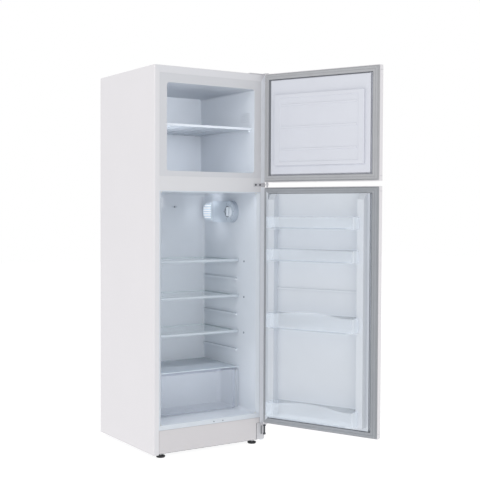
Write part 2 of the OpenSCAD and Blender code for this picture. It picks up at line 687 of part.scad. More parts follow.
// ---- doors ----
// body of a door, set in by i; cut lets a cavity run out through the inner face
module door_body(a, b, i, grip_z, cut = 0) difference() {
    r = door_r - i;
    translate([0, 0, a + i]) linear_extrude(b - a - 2*i) intersection() {
        union() {
            translate([-wx + i + r, out_y + i]) square([cab_w - 2*i - 2*r, door_t - i + cut]);
            translate([-wx + i, out_y + i + r]) square([cab_w - 2*i, door_t - i - r + cut]);
            for (s = [-1, 1]) translate([s*(wx - i - r), out_y + i + r]) circle(r);
        }
        translate([-wx, out_y]) square([cab_w, door_t + cut]);
    }
    box([grip_x0 - i, out_y + 8 - i, grip_z - 14 - i], [grip_x1 + i, out_y + 28 + i, grip_z + 14 + i]);
}

bush_r = pin_r + fit;
lip = 8;
module door_skin(a, b, grip_z) swung() color("#e6e5e8") difference() {
    union() {
        difference() {
            door_body(a, b, 0, grip_z);
            difference() {
                door_body(a, b, sheet, grip_z, 5);
                difference() {
                    box([-wx, pan_y - sheet, a], [wx, pan_y + 9, b]);
                    box([-wx + lip, pan_y - 2, a + lip], [wx - lip, pan_y + 10, b - lip]);
                }
            }
        }
        for (z = [a + 0.1, b - 22.1]) zcyl([px, py, z], bush_r + 1.6, 22);
    }
    for (z = [a - 1, b - 20]) zcyl([px, py, z], bush_r, 21);
}

// inner moulding of a door: flat margin and a raised plateau, open towards the foam
module plateau(a, b, i)
    box([-wx + plateau_in + i, pan_y - 3, a + i], [wx - plateau_in - i, pan_y + plateau_t - i, b - i]);
module margin(a, b) box([-wx + lip, pan_y - liner_t, a + lip], [wx - lip, pan_y, b - lip]);

module door_foam(a, b, grip_z) intersection() {
    door_body(a, b, sheet, grip_z);
    difference() {
        box([-wx, out_y, a], [wx, pan_y - liner_t, b]);
        for (z = [a, b - 23]) zcyl([px, py, z], bush_r + 1.9, 23);
    }
}
fzp0 = fzd_z0 + 34;   fzp1 = fzd_z1 - 33;      // plateau of the freezer door
frp0 = frd_z0 + 30;   frp1 = fr_z1 - 8;        // plateau of the fridge door
dyke_z0 = fr_z0 + 6;

module fz_panel(i)
    box([-wx + fzd_in + i, pan_y - 3, fz_z0 + fzd_rim + i],
        [wx - fzd_in - i, pan_y + fzd_t - i, fz_z1 - fzd_rim - i]);
module fz_dish(i)
    box([-wx + fzd_in + 26 - i, pan_y + fzd_t - fzd_dish - i, fz_z0 + fzd_rim + 16 - i],
        [wx - fzd_in - 26 + i, pan_y + fzd_t + 5, fz_z1 - fzd_rim - 16 + i]);
// the side walls slope back to the door at their upper ends
module fr_dykes(i) for (s = [-1, 1])
    translate([s*(wx - dyke_in - dyke_w/2) - dyke_w/2 + i, 0, 0]) rotate([90, 0, 90])
        linear_extrude(dyke_w - 2*i) polygon([[pan_y - 3, dyke_z0 + i], [pan_y + dyke_t - i, dyke_z0 + i],
            [pan_y + dyke_t - i, frp1 - dyke_slope - 0.41*i],
            [pan_y + dyke_t - dyke_slope - 0.41*i, frp1 - i], [pan_y - 3, frp1 - i]]);

module freezer_door_skin() door_skin(fzd_z0, fzd_z1, fzd_z0);
module freezer_door_foam() swung() color("#efe6c8") {
    door_foam(fzd_z0, fzd_z1, fzd_z0);
    plateau_fill(fzp0, fzp1);
    difference() {
        intersection() { fz_panel(liner_t); box([-wx, pan_y - liner_t, 0], [wx, pan_y + 99, z1]); }
        fz_dish(liner_t);
    }
}
module plateau_fill(a, b) intersection() {
    plateau(a, b, liner_t);
    box([-wx, pan_y - liner_t, a], [wx, pan_y + 99, b]);
}
module freezer_door_liner() swung() color("#e8e8f4") {
    difference() {
        union() {
            margin(fzd_z0, fzd_z1);
            plateau(fzp0, fzp1, 0);
            fz_panel(0);
        }
        box([-wx, pan_y - 9, 0], [wx, pan_y - liner_t, z1 + 9]);
        plateau(fzp0, fzp1, liner_t);
        difference() { fz_panel(liner_t); fz_dish(liner_t); }
        fz_dish(0);
    }
    for (k = [0.27, 0.53, 0.79]) translate([0, 0, fz_z0 + k*(fz_z1 - fz_z0)])
        box([-wx + fzd_in + 34, pan_y + fzd_t - fzd_dish - 1, -4],
            [wx - fzd_in - 34, pan_y + fzd_t - 0.5, 4]);
}

module fridge_door_skin() door_skin(frd_z0, frd_z1, frd_z1);
module fridge_door_foam() swung() color("#efe6c8") {
    door_foam(frd_z0, frd_z1, frd_z1);
    plateau_fill(frp0, frp1);
    intersection() { fr_dykes(liner_t); box([-wx, pan_y - liner_t, 0], [wx, pan_y + 99, z1]); }
}
module fridge_door_liner() swung() color("#d6e0ea") {
    difference() {
        union() {
            margin(frd_z0, frd_z1);
            plateau(frp0, frp1, 0);
            fr_dykes(0);
        }
        box([-wx, pan_y - 9, 0], [wx, pan_y - liner_t, z1]);
        plateau(frp0, frp1, liner_t);
        fr_dykes(liner_t);
    }
    box([-bin_x - bin_gap - 1, bin_y0 - 1, ledge_z], [bin_x + bin_gap + 1, bin_y0 + 5, ledge_z + 8]);
    for (z = bin_z, s = [-1, 1]) translate([s*(bin_x - 2), 0, z - 7])
        box([-4, bin_y0 - 1, 0], [4, pan_y + dyke_t - 2, 7]);
}

module gasket(a, b) swung() color("#a8aaac") difference() {
    union() {
        box([-wx + gasket_in, pan_y, a + gasket_in], [wx - gasket_in, pan_y + 8, b - gasket_in]);
        box([-wx + gasket_in + 2, pan_y, a + gasket_in + 2],
            [wx - gasket_in - 2, pan_y + gasket_t - seat, b - gasket_in - 2]);
    }
    box([-wx + gasket_in + gasket_w, pan_y - 1, a + gasket_in + gasket_w - 4],
        [wx - gasket_in - gasket_w, fy, b - gasket_in - gasket_w + 4]);
    g = gasket_in + gasket_w/2;
    difference() {
        box([-wx + g - 1.5, pan_y + gasket_t - 3, a + g - 1.5], [wx - g + 1.5, fy, b - g + 1.5]);
        box([-wx + g + 1.5, pan_y, a + g + 1.5], [wx - g - 1.5, fy + 1, b - g - 1.5]);
    }
}
module freezer_door_gasket() gasket(fzd_z0, fzd_z1);
module fridge_door_gasket() gasket(frd_z0, frd_z1);

// an open bin whose front half is wider and whose front wall rises in an arc towards its middle
module bin_solid(i, k) {
    d0 = bin_y0 + k;
    d1 = bin_y0 + bin_d - k;
    ear_x = bin_x + bin_ear - k;
    ear_y = pan_y + dyke_t + 0.8 + k;
    translate([0, 0, bin_z[i] + k]) linear_extrude(bin_h[i]) {
        translate([-bin_x + k, d0]) square([2*bin_x - 2*k, d1 - 14 - d0]);
        translate([-ear_x, ear_y]) square([2*ear_x, d1 - 14 - ear_y]);
        translate([-ear_x + 14, ear_y]) square([2*ear_x - 28, d1 - ear_y]);
        for (s = [-1, 1]) translate([s*(ear_x - 14), d1 - 14]) circle(14);
    }
}
module bin_arc(i) if (bin_arch[i] > 0) {
    half = bin_x - 40;
    rad = (half*half + bin_arch[i]*bin_arch[i])/(2*bin_arch[i]);
    top = bin_z[i] + bin_h[i] + bin_arch[i];
    intersection() {
        ycyl([0, bin_y0 + bin_d - bin_t, top - rad], rad, bin_t);
        box([-half, bin_y0, bin_z[i] + bin_h[i] - 6], [half, bin_y0 + bin_d, top + 1]);
    }
}
module door_bin(i) swung() color("#d3e2ee") {
    difference() {
        bin_solid(i, 0);
        bin_solid(i, bin_t);
    }
    bin_arc(i);
}
module door_bin_1() door_bin(0);
module door_bin_2() door_bin(1);
module door_bin_3() door_bin(2);
module door_bin_4() door_bin(3);

// ---- what is drawn ----
outer_wrapper();
back_panel();
base_pan();
step_panel();
cabinet_foam();
freezer_liner();
fridge_liner();
mullion_bar();
kick_plate();
top_hinge();
middle_hinge();
middle_hinge_screw_inner();
middle_hinge_screw_outer();
bottom_hinge();
front_foot_left();
front_foot_right();
rear_roller_left();
rear_roller_right();
evaporator();
condenser_coil();
compressor();
compressor_mount_1();
compressor_mount_2();
compressor_mount_3();
compressor_mount_4();
relay_cover();
suction_pipe();
discharge_pipe();
filter_drier();
drip_tray();
cord_gland();
freezer_shelf();
shelf_glass_lower();
shelf_trim_lower();
shelf_glass_middle();
shelf_trim_middle();
shelf_glass_upper();
shelf_trim_upper();
crisper_cover();
crisper_drawer();
control_housing();
control_knob();
lamp_cover();
lamp_bulb();
switch_housing();
switch_plunger();
sensor_clip();
freezer_door_skin();
freezer_door_foam();
freezer_door_liner();
freezer_door_gasket();
fridge_door_skin();
fridge_door_foam();
fridge_door_liner();
fridge_door_gasket();
door_bin_1();
door_bin_2();
door_bin_3();
door_bin_4();
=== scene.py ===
import json
import math

import bmesh
import bpy
from mathutils import Matrix, Vector

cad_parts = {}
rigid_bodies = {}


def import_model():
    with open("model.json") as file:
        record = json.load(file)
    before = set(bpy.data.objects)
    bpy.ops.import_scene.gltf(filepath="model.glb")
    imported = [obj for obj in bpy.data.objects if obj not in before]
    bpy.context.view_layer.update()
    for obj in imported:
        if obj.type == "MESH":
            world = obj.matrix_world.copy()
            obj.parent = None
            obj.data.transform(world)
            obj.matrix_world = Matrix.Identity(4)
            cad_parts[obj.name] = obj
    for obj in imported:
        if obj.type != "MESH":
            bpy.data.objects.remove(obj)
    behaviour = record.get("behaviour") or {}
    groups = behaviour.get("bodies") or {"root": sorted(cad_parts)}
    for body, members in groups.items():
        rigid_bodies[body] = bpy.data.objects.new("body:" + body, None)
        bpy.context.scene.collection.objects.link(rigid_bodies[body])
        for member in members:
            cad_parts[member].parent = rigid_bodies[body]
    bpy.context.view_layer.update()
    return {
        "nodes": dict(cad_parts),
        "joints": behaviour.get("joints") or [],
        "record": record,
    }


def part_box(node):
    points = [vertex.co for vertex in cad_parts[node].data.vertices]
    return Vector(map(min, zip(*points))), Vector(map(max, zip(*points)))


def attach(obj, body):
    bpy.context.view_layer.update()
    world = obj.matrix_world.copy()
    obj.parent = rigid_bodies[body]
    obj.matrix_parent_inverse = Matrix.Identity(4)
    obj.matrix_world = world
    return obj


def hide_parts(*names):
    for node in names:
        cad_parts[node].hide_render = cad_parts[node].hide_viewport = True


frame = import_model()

MM = 0.001
nodes = frame["nodes"]
scene = bpy.context.scene
node_body = {n: b for b, ns in frame["record"]["behaviour"]["bodies"].items() for n in ns}

# ---------------------------------------------------------------- camera
CAMERA_SPOT = (-2.1108, -3.7266, 1.0248)        # metres
CAMERA_YAW = 33.03                              # degrees, as the next two
CAMERA_PITCH = -1.72
CAMERA_ROLL = 0.245
LENS_MM = 71.75
SENSOR_MM = 36


def make_camera():
    yaw, pitch, roll = (math.radians(a) for a in (CAMERA_YAW, CAMERA_PITCH, CAMERA_ROLL))
    ahead = Vector((math.sin(yaw) * math.cos(pitch), math.cos(yaw) * math.cos(pitch),
                    math.sin(pitch)))
    level = Vector((math.cos(yaw), -math.sin(yaw), 0))
    up = level.cross(ahead)
    right = math.cos(roll) * level + math.sin(roll) * up
    up = right.cross(ahead)
    data = bpy.data.cameras.new("camera")
    data.lens = LENS_MM
    data.sensor_width = SENSOR_MM
    cam = bpy.data.objects.new("camera", data)
    scene.collection.objects.link(cam)
    place = Matrix((right, up, -ahead)).transposed().to_4x4()
    place.translation = Vector(CAMERA_SPOT)
    cam.matrix_world = place
    scene.camera = cam


make_camera()


# ---------------------------------------------------------------- colours and materials
def rgb(r, g, b):
    """A colour given as screen values from 0 to 255, as Blender's linear values."""
    def linear(c):
        c /= 255
        return c / 12.92 if c <= 0.04045 else ((c + 0.055) / 1.055) ** 2.4
    return (linear(r), linear(g), linear(b), 1.0)


def noise(tree, coord, size, detail):
    """A noise texture fixed to the object, with features about size metres across."""
    node = tree.nodes.new("ShaderNodeTexNoise")
    node.inputs["Scale"].default_value = 1 / size
    node.inputs["Detail"].default_value = detail
    tree.links.new(coord.outputs["Object"], node.inputs["Vector"])
    return node


def shader(name, color, rough, metal=0.0, alpha=1.0, coat=0.0, ior=1.5, vary=0.02, vary_size=0.25,
           grain=0.0015, grain_depth=0.00003, rough_vary=0.05, glow=0.0):
    """A Principled material whose colour and roughness wander a little, with a fine bump.
    They wander by the shares vary and rough_vary over about vary_size metres. The bump's
    features are grain metres wide and grain_depth metres deep."""
    mat = bpy.data.materials.new(name)
    mat.use_nodes = True
    tree = mat.node_tree
    bsdf = tree.nodes["Principled BSDF"]
    bsdf.inputs["Metallic"].default_value = metal
    bsdf.inputs["Alpha"].default_value = alpha
    bsdf.inputs["Coat Weight"].default_value = coat
    bsdf.inputs["IOR"].default_value = ior
    if glow:
        bsdf.inputs["Emission Color"].default_value = color
        bsdf.inputs["Emission Strength"].default_value = glow
    coord = tree.nodes.new("ShaderNodeTexCoord")
    cloud = noise(tree, coord, vary_size, detail=4)
    ramp = tree.nodes.new("ShaderNodeValToRGB")
    dark, light = ramp.color_ramp.elements
    dark.position = 0.3
    light.position = 0.7
    dark.color = tuple(c * (1 - vary) for c in color[:3]) + (1,)
    light.color = tuple(min(c * (1 + vary), 1) for c in color[:3]) + (1,)
    tree.links.new(cloud.outputs["Fac"], ramp.inputs["Fac"])
    tree.links.new(ramp.outputs["Color"], bsdf.inputs["Base Color"])
    spread = tree.nodes.new("ShaderNodeMapRange")
    spread.inputs["To Min"].default_value = max(rough - rough_vary, 0.02)
    spread.inputs["To Max"].default_value = min(rough + rough_vary, 1.0)
    tree.links.new(cloud.outputs["Fac"], spread.inputs["Value"])
    tree.links.new(spread.outputs["Result"], bsdf.inputs["Roughness"])
    bump = tree.nodes.new("ShaderNodeBump")
    bump.inputs["Strength"].default_value = 0.6
    bump.inputs["Distance"].default_value = grain_depth
    tree.links.new(noise(tree, coord, grain, detail=2).outputs["Fac"], bump.inputs["Height"])
    tree.links.new(bump.outputs["Normal"], bsdf.inputs["Normal"])
    return mat


# finishes that several materials share
FOLDED_FACE = {"rough": 0.34, "coat": 0.2, "vary": 0.01}
MOULDED = {"vary_size": 0.12, "grain": 0.004, "grain_depth": 0.00005}
SOFT_RUBBER = {"vary": 0.03, "vary_size": 0.05, "grain": 0.001}
GLASS_IOR = 1.52
CLEAR_IOR = 1.49
BIN_PLASTIC = {"rough": 0.2, "ior": CLEAR_IOR, "vary": 0.01, "rough_vary": 0.04, "grain": 0.006,
               "grain_depth": 0.00004}
DRAWER_PLASTIC = {"ior": CLEAR_IOR, "vary": 0.015, "rough_vary": 0.06, "grain": 0.002}

PAINT = shader("white_paint", rgb(230, 227, 230), 0.32, coat=0.3, vary=0.008, grain=0.003,
               grain_depth=0.00004)
FACE = shader("face_paint", rgb(220, 220, 223), **FOLDED_FACE)
LINER = shader("liner_plastic", rgb(214, 219, 226), 0.36, vary=0.015, **MOULDED)
# lighter and darker copies of the liner: painted light on the freezer's rear wall and its cove,
# painted shade on its ceiling
LINER_REAR_LIT = shader("liner_rear_painted_light", rgb(225, 230, 237), 0.4, vary=0.015, **MOULDED)
LINER_ROOF_SHADE = shader("liner_roof_painted_shade", rgb(208, 213, 220), 0.4, vary=0.015, **MOULDED)
# copies of the wrapper's paint: darker as painted shade over the freezer and on the far jamb,
# lighter as painted light on the hinges' side
HEAD_PAINT_SHADE = shader("head_paint_painted_shade", rgb(221, 221, 225), **FOLDED_FACE)
EDGE_PAINT_LIT = shader("edge_paint_painted_light", rgb(236, 240, 245), **FOLDED_FACE)
JAMB_PAINT_SHADE = shader("jamb_paint_painted_shade", rgb(224, 223, 226), **FOLDED_FACE)
# dark rib tops on the fridge's side walls, painted shade for the shadows under the ribs
LEDGE_SHADE = shader("ledge_painted_shade", rgb(156, 164, 176), 0.42, vary=0.015, vary_size=0.12)
FLANGE = shader("flange_plastic", rgb(211, 212, 216), 0.4, vary=0.01, vary_size=0.12)
FRIDGE_FLANGE = shader("fridge_flange_plastic", rgb(214, 220, 227), 0.4, vary=0.01, vary_size=0.12)
DOOR_LINER = shader("door_liner_plastic", rgb(212, 217, 224), 0.38, vary=0.012, **MOULDED)
FREEZER_DOOR = shader("freezer_door_plastic", rgb(218, 220, 228), 0.38, vary=0.012, **MOULDED)
GASKET = shader("gasket_rubber", rgb(176, 177, 180), 0.6, **SOFT_RUBBER)
FRIDGE_GASKET = shader("fridge_gasket_rubber", rgb(157, 160, 165), 0.6, **SOFT_RUBBER)
# darker rubber on the gaskets' inner lip, painted shade for the gap beside it
GASKET_LIP_SHADE = shader("gasket_lip_painted_shade", rgb(128, 131, 137), 0.65, **SOFT_RUBBER)
KICK = shader("kick_plastic", rgb(212, 209, 211), 0.5, vary=0.01, grain=0.0012,
              grain_depth=0.00006)
ZINC = shader("zinc_plated_steel", rgb(205, 206, 209), 0.32, metal=1.0, vary=0.06,
              vary_size=0.01, rough_vary=0.1)
GREY_STEEL = shader("grey_steel", rgb(118, 121, 126), 0.42, metal=0.6, vary=0.06, vary_size=0.02)
BACK_SHEET = shader("galvanised_sheet", rgb(196, 199, 202), 0.42, metal=0.55, vary=0.07,
                    vary_size=0.02, rough_vary=0.1)
PAN_SHEET = shader("pan_steel", rgb(120, 123, 127), 0.5, metal=0.5, vary=0.08, vary_size=0.02)
BLACK = shader("black_plastic", rgb(34, 35, 38), 0.45, vary=0.1, vary_size=0.02, grain=0.001,
               grain_depth=0.00006)
BLACK_PAINT = shader("black_enamel", rgb(32, 33, 36), 0.28, coat=0.4, vary=0.06,
                     vary_size=0.03, grain=0.004, grain_depth=0.00008)
RUBBER = shader("black_rubber", rgb(24, 24, 25), 0.85, vary=0.1, vary_size=0.01, grain=0.001,
                grain_depth=0.00008)
COPPER = shader("copper_pipe", rgb(196, 128, 92), 0.3, metal=1.0, vary=0.1, vary_size=0.015,
                rough_vary=0.12)
ALUMINIUM = shader("aluminium", rgb(200, 202, 205), 0.35, metal=1.0, vary=0.04, vary_size=0.02)
BOLT = shader("dark_bolt", rgb(72, 74, 79), 0.4, metal=0.5, vary=0.06, vary_size=0.01)
# a dark sheet put in a slot as painted shadow
SLOT_SHADE = shader("slot_shadow", rgb(142, 144, 149), 0.6, vary=0.05, vary_size=0.02)
DARK_SCREW = shader("dark_screw", rgb(96, 97, 103), 0.42, metal=0.5, vary=0.05, vary_size=0.004)
FOAM = shader("foam", rgb(238, 228, 196), 0.9, vary=0.05, vary_size=0.02, grain_depth=0.0003)
SHELF_PLASTIC = shader("shelf_plastic", rgb(190, 196, 204), 0.35, vary=0.01, grain=0.002)
SWITCH_PLASTIC = shader("switch_plastic", rgb(214, 219, 226), 0.35, vary=0.01, grain=0.002)
TRIM = shader("shelf_trim_plastic", rgb(184, 192, 200), 0.3, coat=0.1, vary=0.01)
GLASS = shader("shelf_glass", rgb(226, 240, 242), 0.04, alpha=0.16, ior=GLASS_IOR, vary=0.01,
               rough_vary=0.02, grain_depth=0.0)
GLASS_EDGE = shader("glass_edge", rgb(172, 200, 202), 0.15, alpha=0.4, ior=GLASS_IOR, vary=0.03)
COVER = shader("crisper_cover_plastic", rgb(218, 227, 236), 0.25, alpha=0.48, ior=CLEAR_IOR,
               vary=0.01)
COVER_EDGE = shader("cover_edge", rgb(206, 216, 224), 0.3, alpha=0.7, ior=CLEAR_IOR, vary=0.02)
CLEAR = shader("clear_bin_plastic", rgb(232, 239, 247), alpha=0.28, **BIN_PLASTIC)
BIN_END = shader("bin_end_plastic", rgb(234, 240, 247), alpha=0.5, **BIN_PLASTIC)
FROSTED = shader("crisper_plastic", rgb(204, 210, 222), 0.28, alpha=0.42, grain_depth=0.00004,
                 **DRAWER_PLASTIC)
# pale, nearly opaque strips as a painted highlight on the drawer's rear corners
CORNER_HIGHLIGHT = shader("crisper_corner_painted_highlight", rgb(240, 242, 250), 0.2, alpha=0.85, ior=CLEAR_IOR,
                vary=0.01)
CRISPER_FRONT = shader("crisper_front_plastic", rgb(206, 213, 222), 0.22, alpha=0.26,
                       **DRAWER_PLASTIC)
LAMP_SHADE = shader("lamp_shade", rgb(232, 240, 248), 0.3, alpha=0.9, ior=CLEAR_IOR, vary=0.01)
LAMP_BAR = shader("lamp_bars", rgb(240, 246, 252), 0.3, glow=0.55)
LAMP_GLOW = shader("lamp_glass", rgb(250, 250, 246), 0.2, glow=1.2)
# a darker copy of the housing's plastic, painted shade on its front end
HOUSING_END_SHADE = shader("housing_end_painted_shade", rgb(166, 175, 187), 0.4, vary=0.015, vary_size=0.1)
# a darker moulded rim at the foot of the bins, painted shadow under each bin
BIN_RIM_SHADE = shader("bin_rim_painted_shade", rgb(178, 188, 200), 0.3, alpha=0.55, ior=CLEAR_IOR, vary=0.01)
DIAL = shader("dial_plastic", rgb(222, 228, 235), 0.35, vary=0.01, grain=0.001)
HOUSING = shader("housing_plastic", rgb(205, 214, 224), 0.35, vary=0.015, vary_size=0.1)
# print for the dial's ticks and numbers, and painted shadow for the dark arcs at the knob's rear
PRINT_AND_SHADE = shader("dial_print_and_painted_shade", rgb(104, 112, 122), 0.5, vary=0.05, vary_size=0.01)
CLIP = shader("grey_clip", rgb(192, 199, 208), 0.5, vary=0.05, vary_size=0.01)
SOCKET = shader("socket_grey", rgb(128, 137, 148), 0.5, vary=0.04, vary_size=0.01)
SEAM = shader("door_seam", rgb(172, 171, 176), 0.5, vary=0.02, vary_size=0.05)
HINGE_PAINT = shader("painted_hinge", rgb(203, 203, 207), 0.38, metal=0.2, vary=0.03,
                     vary_size=0.01)


# ---------------------------------------------------------------- mesh helpers
def add_mesh(name, verts, faces, mat, body, replaced=None, smooth=None, mats=()):
    """A piece from points in metres, riding on a body. mats lists further materials."""
    me = bpy.data.meshes.new(name)
    me.from_pydata([tuple(v) for v in verts], [], faces)
    for each in (mat, *mats):
        me.materials.append(each)
    me.update()
    obj = bpy.data.objects.new(name, me)
    scene.collection.objects.link(obj)
    settle(obj, body, replaced, smooth)
    return obj


def settle(obj, body, replaced=None, smooth=None):
    """Puts a piece on its body, hides the node it replaces, and smooths it below smooth degrees."""
    if smooth is not None:
        smooth_below(obj.data, smooth)
        even = obj.modifiers.new("even_normals", "WEIGHTED_NORMAL")
        even.keep_sharp = True
    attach(obj, body)
    if replaced:
        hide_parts(replaced)


def smooth_below(me, degrees):
    """Smooth shading, except over edges sharper than the angle."""
    for p in me.polygons:
        p.use_smooth = True
    me.set_sharp_from_angle(angle=math.radians(degrees))


def grid_faces(rows, across, round_rows=False, round_across=False, flip=False):
    """Four-sided faces between rows of points. A round grid joins its last row, or each row's
    last point, to its first."""
    faces = []
    for i in range(rows if round_rows else rows - 1):
        a, b = across * i, across * ((i + 1) % rows)
        for k in range(across if round_across else across - 1):
            m = (k + 1) % across
            faces.append((a + k, b + k, b + m, a + m) if flip else (a + k, a + m, b + m, b + k))
    return faces


def axes_along(facing):
    """A unit vector along facing and two square to it."""
    w = Vector(facing).normalized()
    u = w.orthogonal().normalized()
    return w, u, w.cross(u)


WELD = 3e-6                             # metres
SLIVER = 1e-6                           # metres
FLAT = 0.4                              # degrees
HARD = 38                               # degrees between the faces of a hard edge


def plain_bmesh(node):
    """The node's mesh as a clean bmesh: welded, with flat faces joined."""
    src = nodes[node].data
    bm = bmesh.new()
    verts = [bm.verts.new(v.co) for v in src.vertices]
    for p in src.polygons:
        try:
            bm.faces.new([verts[i] for i in p.vertices])
        except ValueError:      # this face is in the mesh twice
            pass
    bmesh.ops.remove_doubles(bm, verts=bm.verts, dist=WELD)
    bmesh.ops.dissolve_degenerate(bm, dist=SLIVER, edges=bm.edges)
    bmesh.ops.dissolve_limit(bm, angle_limit=math.radians(FLAT), verts=bm.verts, edges=bm.edges)
    bmesh.ops.recalc_face_normals(bm, faces=bm.faces)
    return bm


def soften(node, width, mat, seg=3, pick=None, apart=()):
    """A copy of a CAD node with its hard edges rounded to width mm, shown in its place.
    pick(a, b) says which edges are rounded, in mm at rest; without it all hard edges are.
    apart lists pieces to split off: a name, a material and a test of a face's centre in mm
    and its normal. Without a material, the faces are left out."""
    bm = plain_bmesh(node)
    edges = []
    for e in bm.edges:
        if len(e.link_faces) != 2 or e.calc_face_angle(0) < math.radians(HARD):
            continue
        a, b = (v.co / MM for v in e.verts)
        if pick is None or pick(a, b):
            edges.append(e)
    if edges:
        bmesh.ops.bevel(bm, geom=edges, offset=width * MM, segments=seg, profile=0.5,
                        affect="EDGES", clamp_overlap=True)
    bmesh.ops.triangulate(bm, faces=[f for f in bm.faces if len(f.verts) > 4])
    for part_name, part_mat, chosen in apart:
        split_off(bm, [f for f in bm.faces if chosen(f.calc_center_median() / MM, f.normal)],
                  node, part_name, part_mat)
    me = bpy.data.meshes.new(node + "_soft")
    bm.to_mesh(me)
    bm.free()
    me.materials.append(mat)
    obj = bpy.data.objects.new(node + "_soft", me)
    scene.collection.objects.link(obj)
    settle(obj, node_body[node], node, smooth=40)


def split_off(bm, faces, node, name, mat):
    """Moves some faces of a node's copy into a piece of their own."""
    index = {}
    verts = []
    polys = []
    for f in faces:
        for v in f.verts:
            if v not in index:
                index[v] = len(verts)
                verts.append(v.co.copy())
        polys.append([index[v] for v in f.verts])
    bmesh.ops.delete(bm, geom=faces, context="FACES")
    if mat is not None:
        add_mesh(name, verts, polys, mat, node_body[node], node, smooth=40)


def dress(node, mat):
    """A better material on a CAD node that stays as it is."""
    me = nodes[node].data
    if not me.materials:
        me.materials.append(mat)
    for i in range(len(me.materials)):
        me.materials[i] = mat


# ---------------------------------------------------------------- places, in mm
hinge = next(j for j in frame["joints"] if j["name"] == "fridge_door_hinge")
pivot = Vector(hinge["pos_m"])
pin_x, pin_y = (v / MM for v in hinge["pos_m"][:2])
open_by = math.radians(-hinge["range_deg"][0])
swing = (Matrix.Translation(pivot) @ Matrix.Rotation(open_by, 4, "Z")
         @ Matrix.Translation(-pivot))
unswing = swing.inverted()
shut_turn = unswing.to_3x3()


def shut_box(node):
    """Corners of a door's node as it lies with the door closed."""
    pts = [unswing @ v.co / MM for v in nodes[node].data.vertices]
    lo = Vector(min(p[i] for p in pts) for i in range(3))
    hi = Vector(max(p[i] for p in pts) for i in range(3))
    return lo, hi


def opened(x, y, z):
    """A point given in mm with the door closed, in metres with the door open."""
    return swing @ (Vector((x, y, z)) * MM)


def rest_box(node):
    """Corners of a node at rest."""
    lo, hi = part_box(node)
    return lo / MM, hi / MM


def near(a, b):
    return abs(a - b) < 0.06


def looks_forward(n, least=0.9):
    """Whether a normal points to the cabinet's front, squarely or by at least this share."""
    return n.y < -least


wrap_lo, wrap_hi = rest_box("outer_wrapper")
side_x = wrap_hi.x                      # half the cabinet's width
face_y = wrap_lo.y                      # the cabinet's front
top_z = wrap_hi.z

LINER_THICK = 2
ROUND_CORNER = 12                       # radius of the compartments' rear corners
fz_lo, fz_hi = rest_box("freezer_liner")
fr_lo, fr_hi = rest_box("fridge_liner")
fz_x = rest_box("freezer_shelf")[1].x + 1       # the freezer's inner half width
fz_y = fz_hi.y - LINER_THICK            # its rear wall
fz_floor, fz_roof = 1191, 1554          # heights inside it
crisp_lo, crisp_hi = rest_box("crisper_drawer")
cover_lo, cover_hi = rest_box("crisper_cover")
fr_x = cover_hi.x + 3                   # the fridge's inner half width
fr_y = fr_hi.y - LINER_THICK            # its rear wall
fr_roof = 1105                          # its height inside
step_z = cover_lo.z                     # the crisper's cover lies level with the step


# ---------------------------------------------------------------- cabinet shell
HEAD_STRIP = 40                         # more than the height of the face over the freezer
SIDE_STRIP = 30                         # more than the width of the face beside an opening


def roof_edge(a, b):
    """The wrapper's top edges, but not the front one between the corners."""
    in_front = all(abs(p.x) < side_x - 20 for p in (a, b)) and a.y < face_y + 1
    return near(a.z, top_z) and near(b.z, top_z) and not in_front


def is_head(c, n):
    """The wrapper's face over the freezer."""
    return looks_forward(n) and c.z > top_z - HEAD_STRIP and abs(c.x) < side_x - 15


def is_hinge_edge(c, n):
    """Its face on the hinges' side, with the slope behind it."""
    return looks_forward(n, 0.3) and c.x > side_x - SIDE_STRIP


def is_jamb(c, n):
    """Its face on the other side."""
    return looks_forward(n) and c.x < SIDE_STRIP - side_x


# The wrapper's front strips take these copies of its paint as painted shade and painted light.
soften("outer_wrapper", 1.8, PAINT, pick=roof_edge,
       apart=[("wrapper_head", HEAD_PAINT_SHADE, is_head), ("wrapper_edge", EDGE_PAINT_LIT, is_hinge_edge),
              ("wrapper_jamb", JAMB_PAINT_SHADE, is_jamb)])
for n in ("back_panel", "step_panel"):
    dress(n, BACK_SHEET)
dress("base_pan", PAN_SHEET)
soften("mullion_bar", 0.6, FACE)
soften("kick_plate", 1.6, KICK)
for n in ("cabinet_foam", "freezer_door_foam", "fridge_door_foam"):
    dress(n, FOAM)


# ---------------------------------------------------------------- liners
def freezer_edge(a, b):
    """The edges along the freezer's rounded corners, behind its flange."""
    return all(fz_x - 20 < abs(p.x) < fz_x - 0.2 and p.y > fz_lo.y + 5 for p in (a, b))


def is_freezer_flange(c, n):
    return looks_forward(n) and c.y < fz_lo.y + 1


def is_freezer_rear(c, n):
    return looks_forward(n) and abs(c.x) < fz_x + 1 and c.y < fz_y + 0.5


def is_freezer_roof(c, n):
    return n.z < -0.5 and abs(c.x) < fz_x and c.z > fz_roof - ROUND_CORNER


def fridge_edge(a, b):
    """The edges along the fridge's rounded corners, above the step."""
    return all(fr_x - 15 < abs(p.x) < fr_x - 0.2 and p.z > step_z - ROUND_CORNER
               for p in (a, b))


def is_fridge_flange(c, n):
    return looks_forward(n, 0.3) and c.y < fr_lo.y + 12


def is_ledge(c, n):
    """The upper faces of the ribs on the side walls, which take a dark colour as painted shade."""
    on_wall = fr_x - 14 < abs(c.x) < fr_x - 0.3 and fr_lo.y + 30 < c.y < fr_y - ROUND_CORNER
    return n.z > 0.5 and step_z + 20 < c.z < fr_roof - 100 and on_wall


